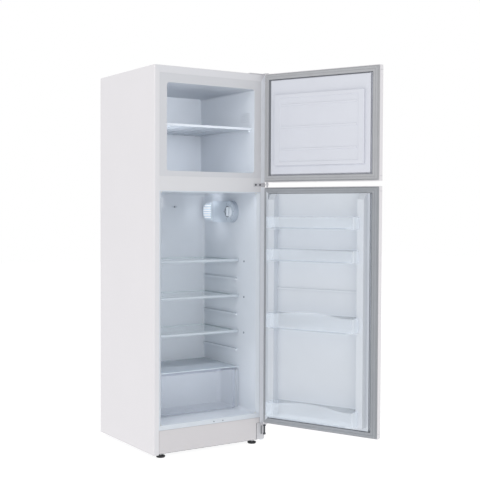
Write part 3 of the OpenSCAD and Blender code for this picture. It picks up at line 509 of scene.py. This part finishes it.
# The freezer's rear wall takes the liner's lighter copy as painted light, and its ceiling the
# darker copy as painted shade.
soften("freezer_liner", 2.0, LINER, pick=freezer_edge,
       apart=[("flange_freezer", FLANGE, is_freezer_flange),
              ("freezer_rear", LINER_REAR_LIT, is_freezer_rear),
              ("freezer_ceiling", LINER_ROOF_SHADE, is_freezer_roof)])
soften("fridge_liner", 2.4, LINER, pick=fridge_edge,
       apart=[("flange_fridge", FRIDGE_FLANGE, is_fridge_flange), ("wall_ledges", LEDGE_SHADE, is_ledge)])

ARC_STEPS = 8


def cove(name, path, r, mat, closed=False):
    """A hollow fillet of radius r mm along a path. path holds (point, inward a, inward b)."""
    verts = []
    for p, a, b in path:
        centre = Vector(p) + r * (Vector(a) + Vector(b))
        for k in range(ARC_STEPS + 1):
            t = math.pi / 2 * k / ARC_STEPS
            verts.append((centre - r * (math.sin(t) * Vector(a) + math.cos(t) * Vector(b))) * MM)
    faces = grid_faces(len(path), ARC_STEPS + 1, round_rows=closed)
    add_mesh(name, verts, faces, mat, "cabinet", smooth=60)


def tub_ring(x, z_low, z_high, y, low_open=False):
    """Points round the rear wall of a tub with rounded corners, with their inward directions."""
    path = []
    r = ROUND_CORNER
    corners = [(x - r, z_low + r, -90, 0), (x - r, z_high - r, 0, 90),
               (r - x, z_high - r, 90, 180), (r - x, z_low + r, 180, 270)]
    front = (0, -1, 0)
    if low_open:
        path.append(((x, y, z_low), (-1, 0, 0), front))
        corners = corners[1:3]
    for cx, cz, a0, a1 in corners:
        for k in range(ARC_STEPS + 1):
            t = math.radians(a0 + (a1 - a0) * k / ARC_STEPS)
            out = Vector((math.cos(t), 0, math.sin(t)))
            path.append(((cx + r * out.x, y, cz + r * out.z), -out, front))
    if low_open:
        path.append(((-x, y, z_low), (1, 0, 0), front))
    return path


cove("freezer_rear_cove", tub_ring(fz_x, fz_floor, fz_roof, fz_y), 4, LINER_REAR_LIT,
     closed=True)
cove("fridge_rear_cove", tub_ring(fr_x, step_z, fr_roof, fr_y, low_open=True), 11, LINER)


# ---------------------------------------------------------------- door gaskets
def gasket(door, rubber):
    """A swept rubber profile: a flat flange, a folded bellows and a square magnet tube."""
    lo, hi = shut_box(door + "_skin")
    g_lo, g_hi = shut_box(door + "_gasket")
    base = g_lo.y
    high = g_hi.y - g_lo.y
    # the section, as distances in from the door's edge and towards the cabinet
    section = [(2.5, 0.0), (2.5, 1.2), (5.5, 1.8), (7.0, 3.4), (8.0, 5.6), (8.6, 6.4), (8.6, 7.4),
               (7.6, 8.2), (7.6, high - 0.8), (8.4, high), (15.0, high), (16.6, high - 1.4),
               (18.2, high), (26.5, high), (27.4, high - 0.8), (27.4, 8.2), (26.6, 7.4),
               (26.6, 6.4), (28.4, 5.2), (31.0, 3.6), (33.4, 2.6), (34.2, 1.4), (34.2, 0.0)]
    end_inset = 29.0                    # it reaches no further in at the door's two ends
    lip_shade_bands = 5                       # the section's last strips are its inner lip
    lit_inner_half = 18                     # from here in, the hinge side is the liner's colour
    hinge_side = 1                      # of the door's four: bottom, hinge side, top, grip side
    verts = []
    for u, v in section:
        x0, x1 = lo.x + u, hi.x - u
        z0, z1 = lo.z + min(u, end_inset), hi.z - min(u, end_inset)
        for x, z in ((x0, z0), (x1, z0), (x1, z1), (x0, z1)):
            verts.append(opened(x, base + v, z))
    faces = grid_faces(len(section), 4, round_across=True)
    seal = add_mesh(door + "_seal", verts, faces, rubber, door,
                    replaced=door + "_gasket", mats=(GASKET_LIP_SHADE, DOOR_LINER))
    # The inner lip takes the darker rubber as painted shade for the gap beside it.
    for i, p in enumerate(seal.data.polygons):
        band, side = divmod(i, 4)
        if band >= len(section) - 1 - lip_shade_bands:
            p.material_index = 1
        # On the fridge door, the inner half of the hinge side takes the liner's colour as painted
        # light.
        if side == hinge_side and rubber is FRIDGE_GASKET and section[band][0] > lit_inner_half:
            p.material_index = 2
    smooth_below(seal.data, 35)


gasket("freezer_door", GASKET)
gasket("fridge_door", FRIDGE_GASKET)


# ---------------------------------------------------------------- doors
GRIP_X = (20, 150)                      # where a door's grip lies, in from its free edge
GRIP_Y = (5, 32)                        # and back from its outer face


def door_skin(door):
    """A door's skin, with the rims of its two ends rounded."""
    lo, hi = shut_box(door + "_skin")

    def outer_rim(a, b):
        p, q = (unswing @ (v * MM) / MM for v in (a, b))
        at_end = any(near(p.z, z) and near(q.z, z) for z in (lo.z, hi.z))
        at_grip = (GRIP_X[0] < p.x + side_x < GRIP_X[1]
                   and lo.y + GRIP_Y[0] < p.y < lo.y + GRIP_Y[1])
        return at_end and not at_grip
    soften(door + "_skin", 1.6, PAINT, pick=outer_rim)


door_skin("freezer_door")
door_skin("fridge_door")
soften("freezer_door_liner", 3.2, FREEZER_DOOR, seg=4)
soften("fridge_door_liner", 3.0, DOOR_LINER, seg=4)


# ---------------------------------------------------------------- bins, shelves and crisper
def is_bin_end(c, n):
    return abs((shut_turn @ n).x) > 0.8


def is_glass_edge(c, n):
    return abs(n.z) < 0.5


def is_drawer_front(c, n):
    return c.y < crisp_lo.y + 5.2


BINS = ["door_bin_%d" % i for i in range(1, 5)]
# a rim's points: how high above the bin's foot, and how far out from its front
RIM_SECTION = [(0.6, 0.0), (1.0, 0.6), (4.2, 0.6), (4.8, 0.0)]
RIM_INSET = 30


def bin_rim(i, node):
    """A low moulded band along the foot of a bin's front, dark as painted shadow under the bin."""
    lo, hi = shut_box(node)
    verts = [opened(x, hi.y + out, lo.z + up) for x in (lo.x + RIM_INSET, hi.x - RIM_INSET)
             for up, out in RIM_SECTION]
    add_mesh("bin_%d_rim" % i, verts, grid_faces(2, len(RIM_SECTION)), BIN_RIM_SHADE, node,
             smooth=30)


def drawer_corner(tag, side):
    """A pale strip round a rear corner of the drawer, a painted highlight where the corner catches
    light.
    """
    r, wall = 22, 2.6
    low, high = crisp_lo.z + 8, crisp_hi.z - 12
    turns = [math.radians(a) for a in range(10, 81, 10)]
    spots = [(side * (crisp_hi.x - wall - r + r * math.cos(t)),
              crisp_hi.y - wall - r + r * math.sin(t)) for t in turns]
    verts = [Vector((x, y, z)) * MM for x, y in spots for z in (low, high)]
    add_mesh("crisper_corner_" + tag, verts, grid_faces(len(spots), 2, flip=True), CORNER_HIGHLIGHT,
             "crisper_drawer", smooth=40)


for i, n in enumerate(BINS, 1):
    soften(n, 0.9, CLEAR, seg=2, apart=[("bin_%d_ends" % i, BIN_END, is_bin_end)])
for i, n in enumerate(BINS, 1):
    bin_rim(i, n)
soften("crisper_drawer", 0.9, FROSTED, seg=2,
       apart=[("crisper_front", CRISPER_FRONT, is_drawer_front)])
for n in ("lower", "middle", "upper"):
    soften("shelf_trim_" + n, 0.9, TRIM)
    soften("shelf_glass_" + n, 0.6, GLASS, apart=[("glass_edge_" + n, GLASS_EDGE, is_glass_edge)])
soften("crisper_cover", 0.8, COVER, apart=[("glass_edge_cover", COVER_EDGE, is_glass_edge)])
soften("freezer_shelf", 0.9, SHELF_PLASTIC)
drawer_corner("left", -1)
drawer_corner("right", 1)


# ---------------------------------------------------------------- controls and lamp
def is_housing_end(c, n):
    """The housing's front end, with the slopes beside it, which take a darker colour as painted
    shade.
    """
    return looks_forward(n, 0.25) and abs(n.x) < 0.9


soften("control_housing", 1.6, HOUSING, apart=[("control_end", HOUSING_END_SHADE, is_housing_end)])
soften("control_knob", 1.0, DIAL)
soften("lamp_cover", 1.0, LAMP_SHADE, seg=2)
dress("lamp_bulb", LAMP_GLOW)
soften("switch_housing", 1.2, SWITCH_PLASTIC)
soften("switch_plunger", 0.8, SWITCH_PLASTIC)
soften("sensor_clip", 0.5, CLIP)

# ---------------------------------------------------------------- hinges, feet and the bay
arm_z = rest_box("bottom_hinge")[0].z + 68      # the underside of the hinge's arm
BOLT_SHIFT = 5                          # from the doors' pins to the bolt, inward and back
BOLT_ROOM = 7                           # a circle that holds the bolt alone


def is_hinge_head(c, n):
    """The screw heads of the top hinge, which finer ones stand for."""
    return c.z > top_z + 2.6


def is_hinge_bolt(c, n):
    """The bolt that hangs under the bottom hinge's arm."""
    off = Vector((c.x - pin_x + BOLT_SHIFT, c.y - pin_y - BOLT_SHIFT))
    return off.length < BOLT_ROOM and c.z < arm_z - 0.2


def hinge_slot():
    """A dark sheet of painted shadow in the slot of the bottom hinge's plate."""
    x, z = side_x - 24, arm_z - 9
    left, right, low, high = 3.6, 12.4, -38.4, 0.4
    corners = ((left, low), (right, low), (right, high), (left, high))
    add_mesh("hinge_slot_shadow", [Vector((x + a, face_y - 0.6, z + b)) * MM for a, b in corners],
             [(0, 1, 2, 3)], SLOT_SHADE, "cabinet", smooth=30)


soften("top_hinge", 0.5, FACE, seg=2, apart=[("top_hinge_heads", None, is_hinge_head)])
soften("middle_hinge", 0.5, HINGE_PAINT, seg=2)
soften("bottom_hinge", 0.5, HINGE_PAINT, seg=2, apart=[("hinge_bolt", BOLT, is_hinge_bolt)])
hinge_slot()
for n in ("middle_hinge_screw_inner", "middle_hinge_screw_outer"):
    soften(n, 0.3, DARK_SCREW, seg=2)
for n in ("rear_roller_left", "rear_roller_right"):
    soften(n, 1.0, BLACK)
dress("evaporator", ALUMINIUM)
dress("condenser_coil", GREY_STEEL)
dress("compressor", BLACK_PAINT)
for i in range(1, 5):
    soften("compressor_mount_%d" % i, 0.8, RUBBER)
soften("relay_cover", 1.5, BLACK)
for n in ("suction_pipe", "discharge_pipe", "filter_drier"):
    dress(n, COPPER)
soften("drip_tray", 0.8, BLACK)
soften("cord_gland", 0.8, RUBBER)


# ---------------------------------------------------------------- small details
def lathe(name, at, facing, profile, mat, body, steps=20, scallops=0, depth=0.0):
    """A turned piece. profile holds (radius, height) in mm from its axis's foot to its tip.
    scallops is how many hollows, depth mm deep, are cut round its widest rings."""
    w, u, v = axes_along(facing)
    centre = Vector(at)
    widest = max(r for r, _ in profile)
    verts = []
    for r, h in profile:
        for k in range(steps):
            t = 2 * math.pi * k / steps
            out = r
            if scallops and r > 0.8 * widest:
                out = r - depth * abs(math.cos(scallops * t / 2))
            verts.append((centre + h * w + out * (math.cos(t) * u + math.sin(t) * v)) * MM)
    faces = grid_faces(len(profile), steps, round_across=True)
    return add_mesh(name, verts, faces, mat, body, smooth=35)


def pan_head(name, at, facing, r, mat, high=1.0):
    """A pan-head screw with a cross recess, r mm in radius."""
    w, u, v = axes_along(facing)
    rings = [(1.0, 0.0), (1.0, 0.22), (0.9, 0.42), (0.66, 0.54), (0.6, 0.56), (0.3, 0.58),
             (0.0, 0.3)]                # radius and height, as shares of r
    recessed = (4, 5)                   # the rings that the cross cuts into
    cross_depth = 0.28
    steps = 16
    verts = []
    for i, (k, h) in enumerate(rings):
        for a in range(steps):
            t = 2 * math.pi * a / steps
            in_cross = i in recessed and a % 4 == 0
            lift = high * (h - cross_depth if in_cross else h)
            out = k * (math.cos(t) * u + math.sin(t) * v)
            verts.append((Vector(at) + r * (lift * w + out)) * MM)
    faces = grid_faces(len(rings), steps, round_across=True)
    add_mesh(name, verts, faces, mat, "cabinet", smooth=30)


def bar(name, a, b, facing, wide, high, mat, ends=0.35):
    """A low moulded bar from a to b on a face, with sloping sides, in mm. ends says how far
    its ends slope, as a share of its width."""
    a, b = Vector(a), Vector(b)
    w = Vector(facing).normalized()
    along = (b - a).normalized()
    side = w.cross(along)
    verts = []
    for k, h in ((1.0, 0.0), (1.0, 0.5), (0.6, 1.0)):
        back = wide * ends * (1 - k)
        for p, s in ((a + back * along, -1), (b - back * along, -1), (b - back * along, 1),
                     (a + back * along, 1)):
            verts.append((p + side * s * wide / 2 * k + w * high * h) * MM)
    faces = grid_faces(3, 4, round_across=True) + [(8, 9, 10, 11)]
    add_mesh(name, verts, faces, mat, "cabinet", smooth=30)


house_x = rest_box("control_housing")[0].x
knob_lo, knob_hi = rest_box("control_knob")
knob_y, knob_z = (knob_lo.y + knob_hi.y) / 2, (knob_lo.z + knob_hi.z) / 2
knob_r = (knob_hi.y - knob_lo.y) / 2
FIRST_MARK = -150                       # degrees from the dial's top
MARK_STEP = 30


def knob_arc(name, x, section, half_turn):
    """A raised dark arc of painted shadow on the knob. section holds (radius, height), and the
    arc runs half_turn degrees each way from the rear."""
    turns = [math.radians(a) for a in range(-half_turn, half_turn + 1, 10)]
    verts = [Vector((x - h, knob_y + r * math.cos(t), knob_z + r * math.sin(t))) * MM
             for t in turns for r, h in section]
    add_mesh(name, verts, grid_faces(len(turns), len(section)), PRINT_AND_SHADE, "control_knob",
             smooth=40)


def dial_direction(degrees):
    t = math.radians(degrees)
    return Vector((0, math.sin(t), math.cos(t)))


def dial_number(i):
    """A plain digit beside the dial, as a mesh."""
    spot = (Vector((house_x - 0.15, knob_y, knob_z))
            + (knob_r + 15.5) * dial_direction(FIRST_MARK + 2 * MARK_STEP * i))
    curve = bpy.data.curves.new("dial_number_curve_%d" % i, "FONT")
    curve.body = str(i)
    curve.size = 8 * MM
    curve.extrude = 0.15 * MM
    curve.align_x = "CENTER"
    curve.align_y = "CENTER"
    drawn = bpy.data.objects.new("number_source_%d" % i, curve)
    scene.collection.objects.link(drawn)
    me = bpy.data.meshes.new_from_object(
        drawn.evaluated_get(bpy.context.evaluated_depsgraph_get()))
    scene.collection.objects.unlink(drawn)
    bpy.data.objects.remove(drawn)
    turn = Matrix(((0, 0, -1), (-1, 0, 0), (0, 1, 0))).to_4x4()
    me.transform(Matrix.Translation(spot * MM) @ turn)
    me.materials.clear()
    me.materials.append(PRINT_AND_SHADE)
    obj = bpy.data.objects.new("dial_number_%d" % i, me)
    scene.collection.objects.link(obj)
    settle(obj, "cabinet", smooth=30)


def dial():
    """Dark arcs of painted shadow at the knob's rear, and the ticks and numbers round it."""
    knob_arc("dial_rim_painted_shadow", house_x - 7, [(knob_r - 0.5, -0.2), (knob_r - 0.8, 0.15),
                                       (knob_r - 4.4, 0.15), (knob_r - 4.8, 0.0)], 115)
    knob_arc("dial_cap_painted_shadow", house_x - 9, [(knob_r - 6.3, 0.0), (knob_r - 6.6, 0.25),
                                        (knob_r - 12.2, 0.25), (knob_r - 12.5, 0.0)], 55)
    for i in range(11):
        out = dial_direction(FIRST_MARK + MARK_STEP * i)
        foot = Vector((house_x, knob_y, knob_z)) + (knob_r + 6) * out
        length = 5.5 if i % 2 == 0 else 3.0
        bar("dial_tick_%02d" % i, foot, foot + length * out, (-1, 0, 0), 1.1, 0.35, PRINT_AND_SHADE)
    for i in range(6):
        dial_number(i)


def lamp_bars():
    """The bars across the lamp's cover. The highest and lowest are shorter."""
    lo, hi = rest_box("lamp_cover")
    x = lo.x + 1.2
    for i in range(6):
        z = knob_z - 27.5 + 11 * i
        cut = 10 if i in (0, 5) else 0
        bar("lamp_bar_%d" % i, (x, lo.y + 9, z), (x, hi.y - 9 - cut, z), (-1, 0, 0), 4.6, 1.4,
            LAMP_BAR)


SIDES = (("left", -1), ("right", 1))
STOP_PROFILE = [(4.6, 0.0), (4.6, 0.8), (3.8, 1.6), (2.6, 2.0), (0.0, 1.5)]
SHELF_HEIGHTS = (485, 645, 805)
STOP_Y = -151
LOUVRE_Y = (-222, -152)                 # where each louvre starts and ends
LOUVRE_Z = 1418                         # the lowest louvre's height
LOUVRE_PITCH = 9


def wall_details():
    """Stops on the fridge's walls in front of its shelves, and louvres in the freezer's walls."""
    for i, z in enumerate(SHELF_HEIGHTS):
        for tag, s in SIDES:
            lathe("wall_stop_%d_%s" % (i, tag), (s * fr_x, STOP_Y, z - 4), (-s, 0, 0),
                  STOP_PROFILE, SOCKET, "cabinet")
    for tag, s in SIDES:
        for k in range(5):
            z = LOUVRE_Z + LOUVRE_PITCH * k
            start, end = ((s * fz_x, y, z) for y in LOUVRE_Y)
            bar("wall_louvre_%s_%d" % (tag, k), start, end, (-s, 0, 0), 3.2, 0.9, LINER,
                ends=1.2)


def screws():
    """Heads on the back panel, the top hinge, the sill and the sensor's clip."""
    edge_x, top_row, low_row = 262, 1610, 290
    back_spots = [(s * edge_x, z) for s in (-1, 1) for z in (300, 560, 820, 1080, 1340, 1590)]
    back_spots += [(x, top_row) for x in (-90, 90)]
    back_spots += [(x, low_row) for x in (-130, 130)]
    sheet_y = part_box("back_panel")[0].y / MM + 0.8
    for k, (x, z) in enumerate(back_spots):
        pan_head("back_screw_%02d" % k, (x, sheet_y, z), (0, 1, 0), 4, ZINC)
    plate_z = top_z + 2.5
    for k, (dx, dy) in enumerate(((70, 34), (43, 12), (16, 34))):
        pan_head("top_hinge_screw_%d" % k, (side_x - dx, face_y + dy, plate_z), (0, 0, 1), 5.6,
                 ZINC, high=0.62)
    sill_z = 125.5
    for k, x in enumerate((15, 60)):
        pan_head("sill_screw_%d" % k, (x, fr_lo.y, sill_z), (0, -1, 0), 2.6, SOCKET)
    lo, hi = rest_box("sensor_clip")
    pan_head("sensor_screw", (hi.x - 15, lo.y + 1.4, (lo.z + hi.z) / 2), (0, -1, 0), 3.2,
             DARK_SCREW)


def door_seams(door):
    """Fine joints where a door's sheet meets its end caps."""
    lo, hi = shut_box(door + "_skin")
    r = 26
    proud = 0.05
    plan = [(lo.x, hi.y - 1)]
    for cx, a0 in ((lo.x + r, 180), (hi.x - r, 270)):
        for k in range(25):
            t = math.radians(a0 + 90 * k / 24)
            plan.append((cx + (r + proud) * math.cos(t), lo.y + r + (r + proud) * math.sin(t)))
    plan.append((hi.x, hi.y - 1))
    for tag, z in (("low", lo.z + 20), ("high", hi.z - 20)):
        verts = [opened(x, y, z + dz) for x, y in plan for dz in (-0.6, 0.0, 0.6)]
        add_mesh("%s_seam_%s" % (door, tag), verts, grid_faces(len(plan), 3, flip=True), SEAM,
                 door, smooth=40)


def foot(tag):
    """A levelling foot: a scalloped pad and its stem."""
    node = "front_foot_" + tag
    lo, hi = rest_box(node)
    at = ((lo.x + hi.x) / 2, (lo.y + hi.y) / 2, 0)
    pad_profile = [(0.0, 0.0), (17.0, 0.0), (18.0, 1.0), (18.4, 2.2), (19.0, 3.0), (19.0, 7.0),
                   (18.4, 8.0), (9.0, 8.2), (7.0, 9.0)]
    pad = lathe("foot_pad_" + tag, at, (0, 0, 1), pad_profile, BLACK, node, steps=96,
                scallops=24, depth=1.0)
    stem = lathe("foot_stem_" + tag, at, (0, 0, 1), [(5.0, 8.0), (5.0, hi.z), (0.0, hi.z)], ZINC,
                 node, steps=24)
    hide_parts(node)
    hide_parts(node)


dial()
lamp_bars()
wall_details()
screws()
door_seams("freezer_door")
door_seams("fridge_door")
foot("left")
foot("right")


# ---------------------------------------------------------------- floor, light and backdrop
CLEAR_PIECES = ("door_bin_", "bin_", "shelf_glass", "glass_edge", "crisper_front",
                "crisper_cover", "crisper_drawer", "crisper_corner")
FRIDGE_INSIDE = ("fridge_liner", "fridge_rear", "shelf_", "crisper", "glass_", "control_", "lamp_",
                 "sensor_", "dial_", "wall_")
FREEZER_INSIDE = ("freezer_liner", "freezer_rear", "freezer_shelf")
FLOOR_HALF = 14.0
BACKDROP = 1.0                          # the world's strength where it is seen
AMBIENT = 0.645                         # its strength as light on the object

# soft lights for the pieces inside one compartment alone, in metres and watts:
# name, place, target, size, power
FREEZER_LIGHTS = (
    ("freezer_fill", (0.1, -0.95, 1.42), (-0.03, 0, 1.34), (0.7, 0.25), 3.6),
    ("freezer_side_fill", (-0.2, -0.08, 1.38), (0.2, -0.03, 1.36), (0.3, 0.3), 0.66))
FRIDGE_LIGHTS = (
    ("fridge_fill", (0.02, -0.9, 0.6), (0, 0, 0.4), (0.8, 0.9), 1.15),
    ("fridge_top_fill", (0.06, -0.42, 1.16), (-0.03, -0.05, 0.3), (0.5, 0.12), 0.6),
    ("fridge_low_fill", (-0.05, -0.5, 0.42), (0.03, 0.1, 0.25), (0.4, 0.15), 0.15),
    ("fridge_right_fill", (-0.2, -0.3, 0.52), (0.2, -0.05, 0.46), (0.06, 0.6), 0.09),
    ("fridge_floor_fill", (0, -0.31, 0.42), (0, -0.2, 0.2), (0.42, 0.06), 0.11),
    ("ceiling_fill", (0.0, -0.2, 0.95), (0.08, 0.02, 1.105), (0.3, 0.2), 0.03),
    ("lamp_spill_up", (0.165, 0.07, 1.088), (0.212, 0.09, 1.091), (0.03, 0.015), 0.024),
    ("lamp_spill_down", (0.165, 0.045, 0.96), (0.212, 0.063, 0.956), (0.03, 0.015), 0.014),
    ("lamp_spill_back", (0.15, 0.14, 1.02), (0.2, 0.19, 1.01), (0.02, 0.08), 0.006))


def let_light_through():
    """Clear plastic and glass cast no shadow."""
    for obj in scene.collection.objects:
        if obj.name.startswith(CLEAR_PIECES):
            obj.visible_shadow = False


def background(tree, color, strength):
    node = tree.nodes.new("ShaderNodeBackground")
    node.inputs["Color"].default_value = color
    node.inputs["Strength"].default_value = strength
    return node


def make_world():
    """A white backdrop for camera, glossy and transmission rays, and a soft light for others."""
    world = bpy.data.worlds.new("studio")
    scene.world = world
    world.use_nodes = True
    tree = world.node_tree
    tree.nodes.clear()
    out = tree.nodes.new("ShaderNodeOutputWorld")
    mix = tree.nodes.new("ShaderNodeMixShader")
    seen = background(tree, (1, 1, 1, 1), BACKDROP)
    fill = background(tree, (0.97, 0.985, 1.0, 1), AMBIENT)
    path = tree.nodes.new("ShaderNodeLightPath")
    camera_or_glossy = tree.nodes.new("ShaderNodeMath")
    camera_or_glossy.operation = "ADD"
    any_of_three = tree.nodes.new("ShaderNodeMath")
    any_of_three.operation = "ADD"
    any_of_three.use_clamp = True
    tree.links.new(path.outputs["Is Camera Ray"], camera_or_glossy.inputs[0])
    tree.links.new(path.outputs["Is Glossy Ray"], camera_or_glossy.inputs[1])
    tree.links.new(camera_or_glossy.outputs[0], any_of_three.inputs[0])
    tree.links.new(path.outputs["Is Transmission Ray"], any_of_three.inputs[1])
    tree.links.new(any_of_three.outputs[0], mix.inputs["Fac"])
    tree.links.new(fill.outputs["Background"], mix.inputs[1])
    tree.links.new(seen.outputs["Background"], mix.inputs[2])
    tree.links.new(mix.outputs["Shader"], out.inputs["Surface"])


def make_floor():
    """A matt floor that glows nearly white and still takes the object's shadow."""
    me = bpy.data.meshes.new("floor")
    h = FLOOR_HALF
    me.from_pydata([(-h, -h, 0), (h, -h, 0), (h, h, 0), (-h, h, 0)], [], [(0, 1, 2, 3)])
    floor = bpy.data.objects.new("floor", me)
    scene.collection.objects.link(floor)
    mat = bpy.data.materials.new("floor_white")
    mat.use_nodes = True
    bsdf = mat.node_tree.nodes["Principled BSDF"]
    bsdf.inputs["Base Color"].default_value = (0.3, 0.3, 0.3, 1)
    bsdf.inputs["Roughness"].default_value = 1.0
    bsdf.inputs["Specular IOR Level"].default_value = 0.0
    bsdf.inputs["Emission Color"].default_value = (1, 1, 1, 1)
    bsdf.inputs["Emission Strength"].default_value = 0.9
    me.materials.append(mat)


def area(name, spot, target, size, watts, color, glossy=True):
    """A rectangular lamp at spot that shines on target. Without glossy, nothing mirrors it."""
    data = bpy.data.lights.new(name, "AREA")
    data.shape = "RECTANGLE"
    data.size, data.size_y = size
    data.energy = watts
    data.color = color
    lamp = bpy.data.objects.new(name, data)
    scene.collection.objects.link(lamp)
    lamp.location = spot
    aim = Vector(target) - Vector(spot)
    lamp.rotation_euler = aim.to_track_quat("-Z", "Y").to_euler()
    lamp.visible_camera = False
    lamp.visible_glossy = glossy
    return lamp


def light_inside(group, prefixes, lights):
    """Lamps that light, and are shaded by, only the pieces with these names."""
    pieces = bpy.data.collections.new(group)
    for obj in scene.collection.objects:
        if obj.name.startswith(prefixes):
            pieces.objects.link(obj)
    for name, spot, target, size, watts in lights:
        lamp = area(name, spot, target, size, watts, (0.98, 0.99, 1.0), glossy=False)
        lamp.light_linking.receiver_collection = pieces
        lamp.light_linking.blocker_collection = pieces


let_light_through()
make_world()
make_floor()
area("key", (-4.6, -2.6, 3.4), (0, 0, 1.1), (2.4, 2.4), 49, (1, 0.99, 0.97))
area("front", (-0.6, -5.2, 1.6), (0, 0, 0.8), (2.0, 2.4), 14, (1, 1, 1))
light_inside("freezer_pieces", FREEZER_INSIDE, FREEZER_LIGHTS)
light_inside("inside_pieces", FRIDGE_INSIDE, FRIDGE_LIGHTS)
scene.view_settings.view_transform = "Standard"
